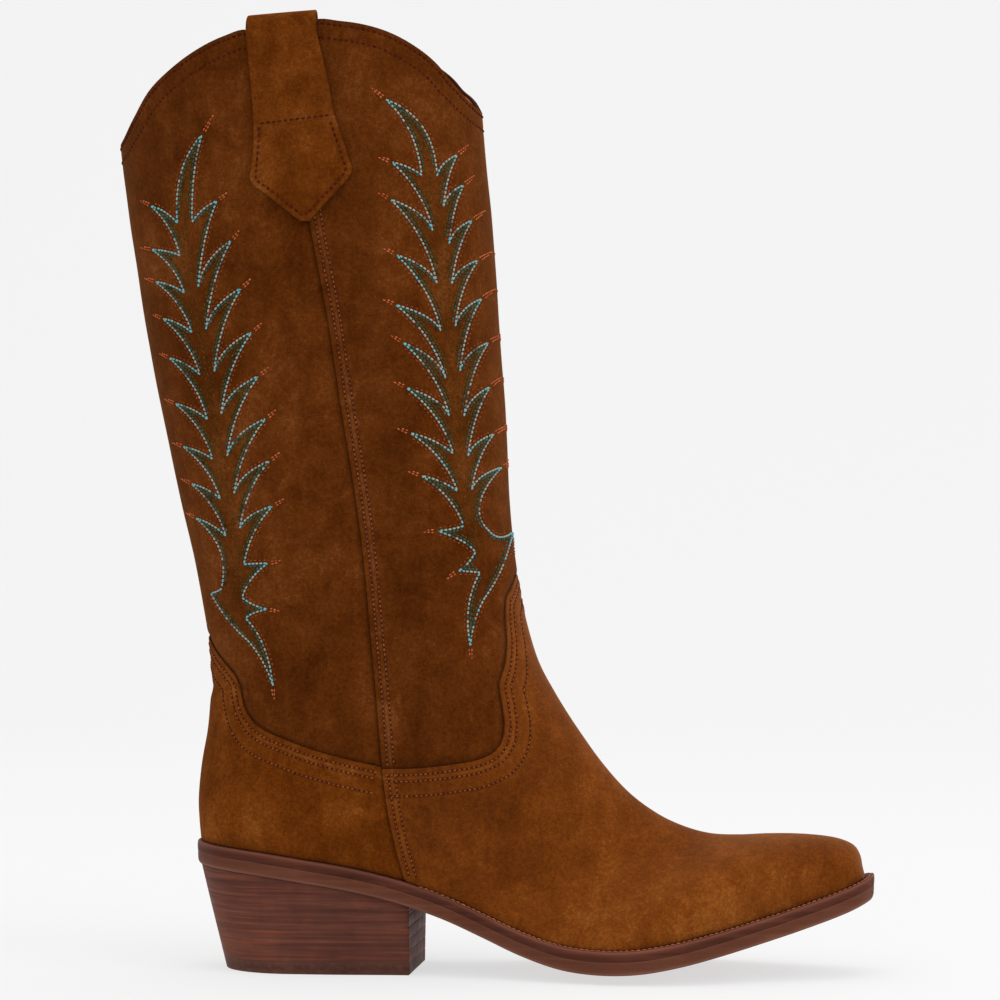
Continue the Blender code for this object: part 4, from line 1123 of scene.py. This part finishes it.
WELT, SOLE_GAP, OUTSOLE = 3.8, 0.3, 5.2
OUTSOLE_TOP = WELT + SOLE_GAP
OUTSOLE_LOW = OUTSOLE_TOP + OUTSOLE
FAR_IN = -3                     # offsets past this one are taken towards the spine of the sole


def outline():
    """The feather line from above as a closed ring, and its outward directions."""
    down = np.concatenate([np.linspace(13, 14.2, 12), np.linspace(14.2, 23.2, 120)[1:],
                           np.linspace(23.2, 24, 12)[1:-1]])
    loop = np.concatenate([surface(down, 90), surface(LAST, np.linspace(90, -90, 61)),
                           surface(down[::-1], -90), surface(CORNER, np.linspace(270, 90, 101)[1:-1])])[:, :2]
    keep = np.ones(len(loop), bool)
    keep[1:] = np.linalg.norm(np.diff(loop, axis=0), axis=1) > 0.05
    loop = loop[keep]
    for _ in range(3):
        loop = loop * 0.5 + (np.roll(loop, 1, 0) + np.roll(loop, -1, 0)) * 0.25
    ahead = np.roll(loop, -2, 0) - np.roll(loop, 2, 0)
    out = np.stack([ahead[:, 1], -ahead[:, 0]], -1)
    out /= np.linalg.norm(out, axis=1, keepdims=True)
    return loop, out if (out * (loop - loop.mean(0))).sum() > 0 else -out


LOOP, OUT = outline()


def sole_z(x, y, drop):
    v = np.minimum(1, np.abs(y - shift(x)) / (side_half(x) + 3) / 0.9)
    return welt_top(x) - drop - crown(x) * (1 - v * v) ** 2


def spine(points):
    x = np.clip(points[:, 0], -104, 112)
    return np.stack([x, shift(x)], -1)


def ring(offset):
    """The outline moved out by offset mm past the edge of the welt's reach, or in towards the spine."""
    if offset > FAR_IN:
        return LOOP + OUT * (welt_out(LOOP[:, 0]) + offset)[:, None]
    inward = LOOP - spine(LOOP)
    return LOOP + inward / np.linalg.norm(inward, axis=1, keepdims=True) * offset


def capped(rings, wear_and_highlight_levels, centre, steps, heights):
    """Points, faces and wear with painted highlight of a swept layer, closed by flat rings that shrink to its
    centre.
    """
    n = len(rings[0])
    points, faces = list(rings), grid(len(rings), n, 0, True, True).tolist()
    for start, height, flip in ((0, heights[0], False), (len(rings) - 1, heights[1], True)):
        edge, base = rings[start][:, :2], start * n
        for q in steps:
            flat = edge + (centre - edge) * q
            points.append(np.column_stack([flat, height(flat[:, 0], flat[:, 1])]))
            here = (len(points) - 1) * n
            quads = [(base + i, here + i, here + (i + 1) % n, base + (i + 1) % n) for i in range(n)]
            faces += [f[::-1] for f in quads] if flip else quads
            base = here
    wear_and_highlight_levels = np.concatenate([np.repeat(wear_and_highlight_levels, n), np.zeros((len(points) - len(rings)) * n)])
    return np.concatenate(points), faces, {"wear_and_highlight": wear_and_highlight_levels}


def sole_piece(name, profile, look, stands_for, fill=None):
    """A layer swept round the outline, by a profile of (offset, drop, wear with painted highlight) from its
    top inner edge down.

    fill holds the drops of the flat faces that close it. Without them it is a closed band.
    """
    rings = []
    for offset, drop, _ in profile:
        flat = ring(offset)
        rings.append(np.column_stack([flat, sole_z(flat[:, 0], flat[:, 1], drop)]))
    wear_and_highlight_levels = [float(wear_and_highlight_level) for _, _, wear_and_highlight_level in profile]
    if fill:
        heights = [lambda x, y, drop=drop: sole_z(x, y, drop) for drop in fill]
        points, faces, values = capped(rings, wear_and_highlight_levels, spine(LOOP), (0.12, 0.3, 0.5, 0.7, 0.85, 1.0), heights)
    else:
        n = len(LOOP)
        points, values = np.concatenate(rings), {"wear_and_highlight": np.repeat(wear_and_highlight_levels, n)}
        faces, last = grid(len(rings), n, 0, True, True).tolist(), (len(rings) - 1) * n
        faces += [(last + i, last + (i + 1) % n, (i + 1) % n, i) for i in range(n)]
    return dress(build(name, points, faces, (stands_for,), values), look)


# The third value pales the edge: wear, and a painted highlight along the welt's rounded top edge and the
# outsole's rounded lower edge.
WELT_EDGE = [(-8.0, -0.4, 0), (-5, -0.45, 0), (-2.6, -0.48, 0), (-1.8, -0.44, 0.1), (-1.15, -0.2, 0.3),
             (-0.75, -0.14, 0.8), (-0.4, 0.02, 1), (-0.14, 0.36, 0.9), (-0.03, 0.9, 0.45), (0.03, 1.8, 0.1),
             (0, 3.3, 0), (-0.04, 3.68, 0.1), (-0.12, 3.78, 0), (-0.6, 3.81, 0), (-8.0, 3.81, 0)]
OUTSOLE_EDGE = [(offset, OUTSOLE_TOP + down, wear_and_highlight_level) for offset, down, wear_and_highlight_level in (
    (-1.0, -0.27, 0), (-0.26, -0.26, 0.1), (-0.17, -0.18, 0.3), (-0.15, 0.3, 0), (-0.14, 1.9, 0),
    (-0.24, OUTSOLE - 1.6, 0.1), (-0.55, OUTSOLE - 0.75, 0.5), (-1.05, OUTSOLE - 0.22, 0.4),
    (-1.8, OUTSOLE, 0.1))]
SOCK_EDGE = [(-5.5, -3.9, 0), (-5.25, -3.8, 0), (-5.2, -3.3, 0), (-5.3, -2.75, 0)]
sole_piece("welt_leather_edge", WELT_EDGE, WELT_LOOK, "welt")
sole_piece("outsole_leather_edge", OUTSOLE_EDGE, OUTSOLE_LOOK, "outsole",
           (OUTSOLE_TOP, OUTSOLE_LOW))
sole_piece("sock_liner_leather", SOCK_EDGE, SOCK, "sock_liner", (-3.9, -2.7))


def welt_stitches():
    """They lie on the shelf beside the upper, from one side of the heel round the toe to the other."""
    around = LOOP[:, 0] > -44
    order = np.argsort(np.arctan2(LOOP[around][:, 1], LOOP[around][:, 0] + 60))
    shelf, out = LOOP[around][order], OUT[around][order]
    flat = shelf + out * (welt_out(shelf[:, 0]) * 0.5)[:, None]
    tops = np.column_stack([flat, sole_z(flat[:, 0], flat[:, 1], -0.36)])
    up = np.tile([0, 0, 1.0], (len(tops), 1))
    stitches("welt_thread", [(tops, up)], 2.3, 2.0, 0.26, TAN, lift=0.7)


welt_stitches()

# ---------------- heel

HEEL_FRONT, HEEL_HIGH = -48.0, 43.0
HEEL_BACK, HEEL_HALF = -126.6, 26       # its rear end and half width at the ground
HEEL_LEAN, HEEL_FLARE = 10.6, 5.6       # how much further both reach at the top
HEEL_MIDDLE = np.array([-84.0, 0.0])
PITCH, TOP_LIFT, LIFTS = 4.9, 4.6, 4
LIFTS_LOW = TOP_LIFT + SOLE_GAP
LIFTS_TOP = LIFTS_LOW + LIFTS * PITCH


def heel_ring(z, inset):
    """The heel's outline at height z, as a closed ring, drawn in by inset mm."""
    t = z / HEEL_HIGH
    back, front = HEEL_BACK - HEEL_LEAN * t + inset, HEEL_FRONT - inset
    half = HEEL_HALF + HEEL_FLARE * t - inset
    x = back + (front - back) * np.linspace(0, 1, 44) ** 1.8
    y = half * cap((x - back) / 30, 2.0) * (1 - 0.07 * smoothstep((x + 85) / 37))
    breast = np.linspace(1, -1, 16)[1:-1]
    one, two = np.column_stack([x, -y]), np.column_stack([np.full(len(breast), front), -y[-1] * breast])
    return np.concatenate([one, two, np.column_stack([x, y])[::-1][:-1]])


def heel_piece(name, low, high, look, bevel=0.16):
    """One heel layer; low and high are heights, or functions of x, and its corners are eased."""
    def level(value, x):
        return value(x) if callable(value) else np.full(len(x), float(value))

    rings, wear_and_highlight_levels = [], []
    # Share of the way up, rise beyond it in bevels, inset, and wear with painted highlight of each ring.
    profile = ((0, 0, bevel, 0.2), (0, 0.35, 0.08, 0.55), (0, 1, 0, 0.15), (0.5, 0, 0, 0),
               (1, -1, 0, 0.15), (1, -0.35, 0.08, 0.5), (1, 0, bevel, 0.2))
    for share, rise, inset, wear_and_highlight_level in profile:
        def height(x):
            return (1 - share) * level(low, x) + share * level(high, x) + rise * bevel

        # The outline depends on the height of each point, so it is blended between two rings.
        z = height(heel_ring(10.0, inset)[:, 0])
        foot, head = heel_ring(0.0, inset), heel_ring(HEEL_HIGH, inset)
        mixed = foot + (head - foot) * (z / HEEL_HIGH)[:, None]
        rings.append(np.column_stack([mixed, height(mixed[:, 0])]))
        wear_and_highlight_levels.append(wear_and_highlight_level)
    heights = [lambda x, y, value=value: level(value, x) for value in (low, high)]
    points, faces, values = capped(rings, wear_and_highlight_levels, HEEL_MIDDLE, (0.1, 0.4, 0.75, 0.999), heights)
    return dress(build(name + "_edge", points, faces, (name,), values), look)


def seat(x):
    return welt_top(x) - OUTSOLE_LOW - 0.12


def wedge_line(x):
    return LIFTS_TOP + 0.42 * (welt_top(x) - OUTSOLE_LOW - SOLE_GAP - LIFTS_TOP)


heel_piece("top_lift", 0.0, TOP_LIFT + 0.24, RUBBER, 0.2)
for k in range(LIFTS):
    z = LIFTS_LOW + k * PITCH
    heel_piece(f"heel_lift_{k + 1}", z, z + PITCH - 0.05, HEEL_LOOK)
heel_piece("heel_lift_5", LIFTS_TOP, lambda x: wedge_line(x) - 0.05, HEEL_LOOK)
heel_piece("heel_wedge", wedge_line, seat, HEEL_LOOK)

# ---------------- pieces kept from the frame

for look, nodes in ((FIBRE, ("toe_puff", "heel_stiffener", "insole_board")), (CORK, ("cork_filler",)),
                    (STEEL, ("shank", *(f"heel_nail_{k}" for k in range(1, 6))))):
    for node in nodes:
        dress(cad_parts[node], look)

# ---------------- floor, light and camera


def studio():
    """A floor that curves up into a wall, both nearly white."""
    depth, bend_start, radius, top = -3.0, 1.4, 1.2, 5.0
    profile = [(depth, 0), (0.6, 0), (bend_start, 0)]
    profile += [(bend_start + radius * math.sin(t), radius - radius * math.cos(t))
                for t in np.linspace(0.1, math.pi / 2, 16)]
    profile += [(bend_start + radius, top)]
    points = [(x, y, z) for y, z in profile for x in (-6.0, 6.0)]
    faces = [(2 * i, 2 * i + 1, 2 * i + 3, 2 * i + 2) for i in range(len(profile) - 1)]
    mesh = bpy.data.meshes.new("studio_floor")
    mesh.from_pydata(points, [], faces)
    mesh.polygons.foreach_set("use_smooth", [True] * len(faces))
    floor = bpy.data.objects.new("studio_floor", mesh)
    bpy.context.scene.collection.objects.link(floor)
    white, _, _, shader = nodes_of("studio_white")
    for socket, value in (("Base Color", (0.25, 0.25, 0.25, 1)), ("Roughness", 0.9),
                          ("Specular IOR Level", 0.0), ("Emission Color", (1, 1, 1, 1)),
                          ("Emission Strength", 0.645)):
        shader.inputs[socket].default_value = value
    floor.data.materials.append(white)


def placed(name, data, place, back):
    """A lamp or camera at a place, with its back turned to a direction."""
    made = bpy.data.objects.new(name, data)
    made.location = place
    made.rotation_mode = "QUATERNION"
    made.rotation_quaternion = back.to_track_quat("Z", "Y")
    bpy.context.scene.collection.objects.link(made)
    return made


def lamp(name, place, aim, size, energy):
    data = bpy.data.lights.new(name, "AREA")
    data.shape, data.size, data.energy = "SQUARE", size, energy
    placed(name, data, place, Vector(place) - Vector(aim))


studio()
lamp("key_light", (-0.9, -1.6, 1.9), (0, 0, 0.18), 1.4, 4.5)
lamp("fill_light", (1.7, -1.0, 1.5), (0, 0, 0.18), 1.4, 13)
lamp("top_light", (0.2, 0.1, 2.4), (0, 0, 0.1), 1.8, 20)
world = bpy.context.scene.world or bpy.data.worlds.new("studio")
bpy.context.scene.world = world
world.use_nodes = True
sky = world.node_tree.nodes["Background"].inputs
sky["Color"].default_value, sky["Strength"].default_value = (0.93, 0.93, 0.935, 1), 0.85
bpy.context.scene.view_settings.view_transform = "Standard"
bpy.context.scene.view_settings.look = "None"

LENS, SENSOR = 130, 36                          # mm
AIM, AWAY = Vector((0.00248, 0, 0.1914)), 1.4739    # where the camera looks and how far off it stands, m
TURN = math.radians(6.5)                        # how far round it stands from square to the side
camera_data = bpy.data.cameras.new("camera")
camera_data.lens, camera_data.sensor_width = LENS, SENSOR
back = Vector((math.sin(TURN), -math.cos(TURN), 0))
bpy.context.scene.camera = placed("camera", camera_data, AIM + back * AWAY, back)
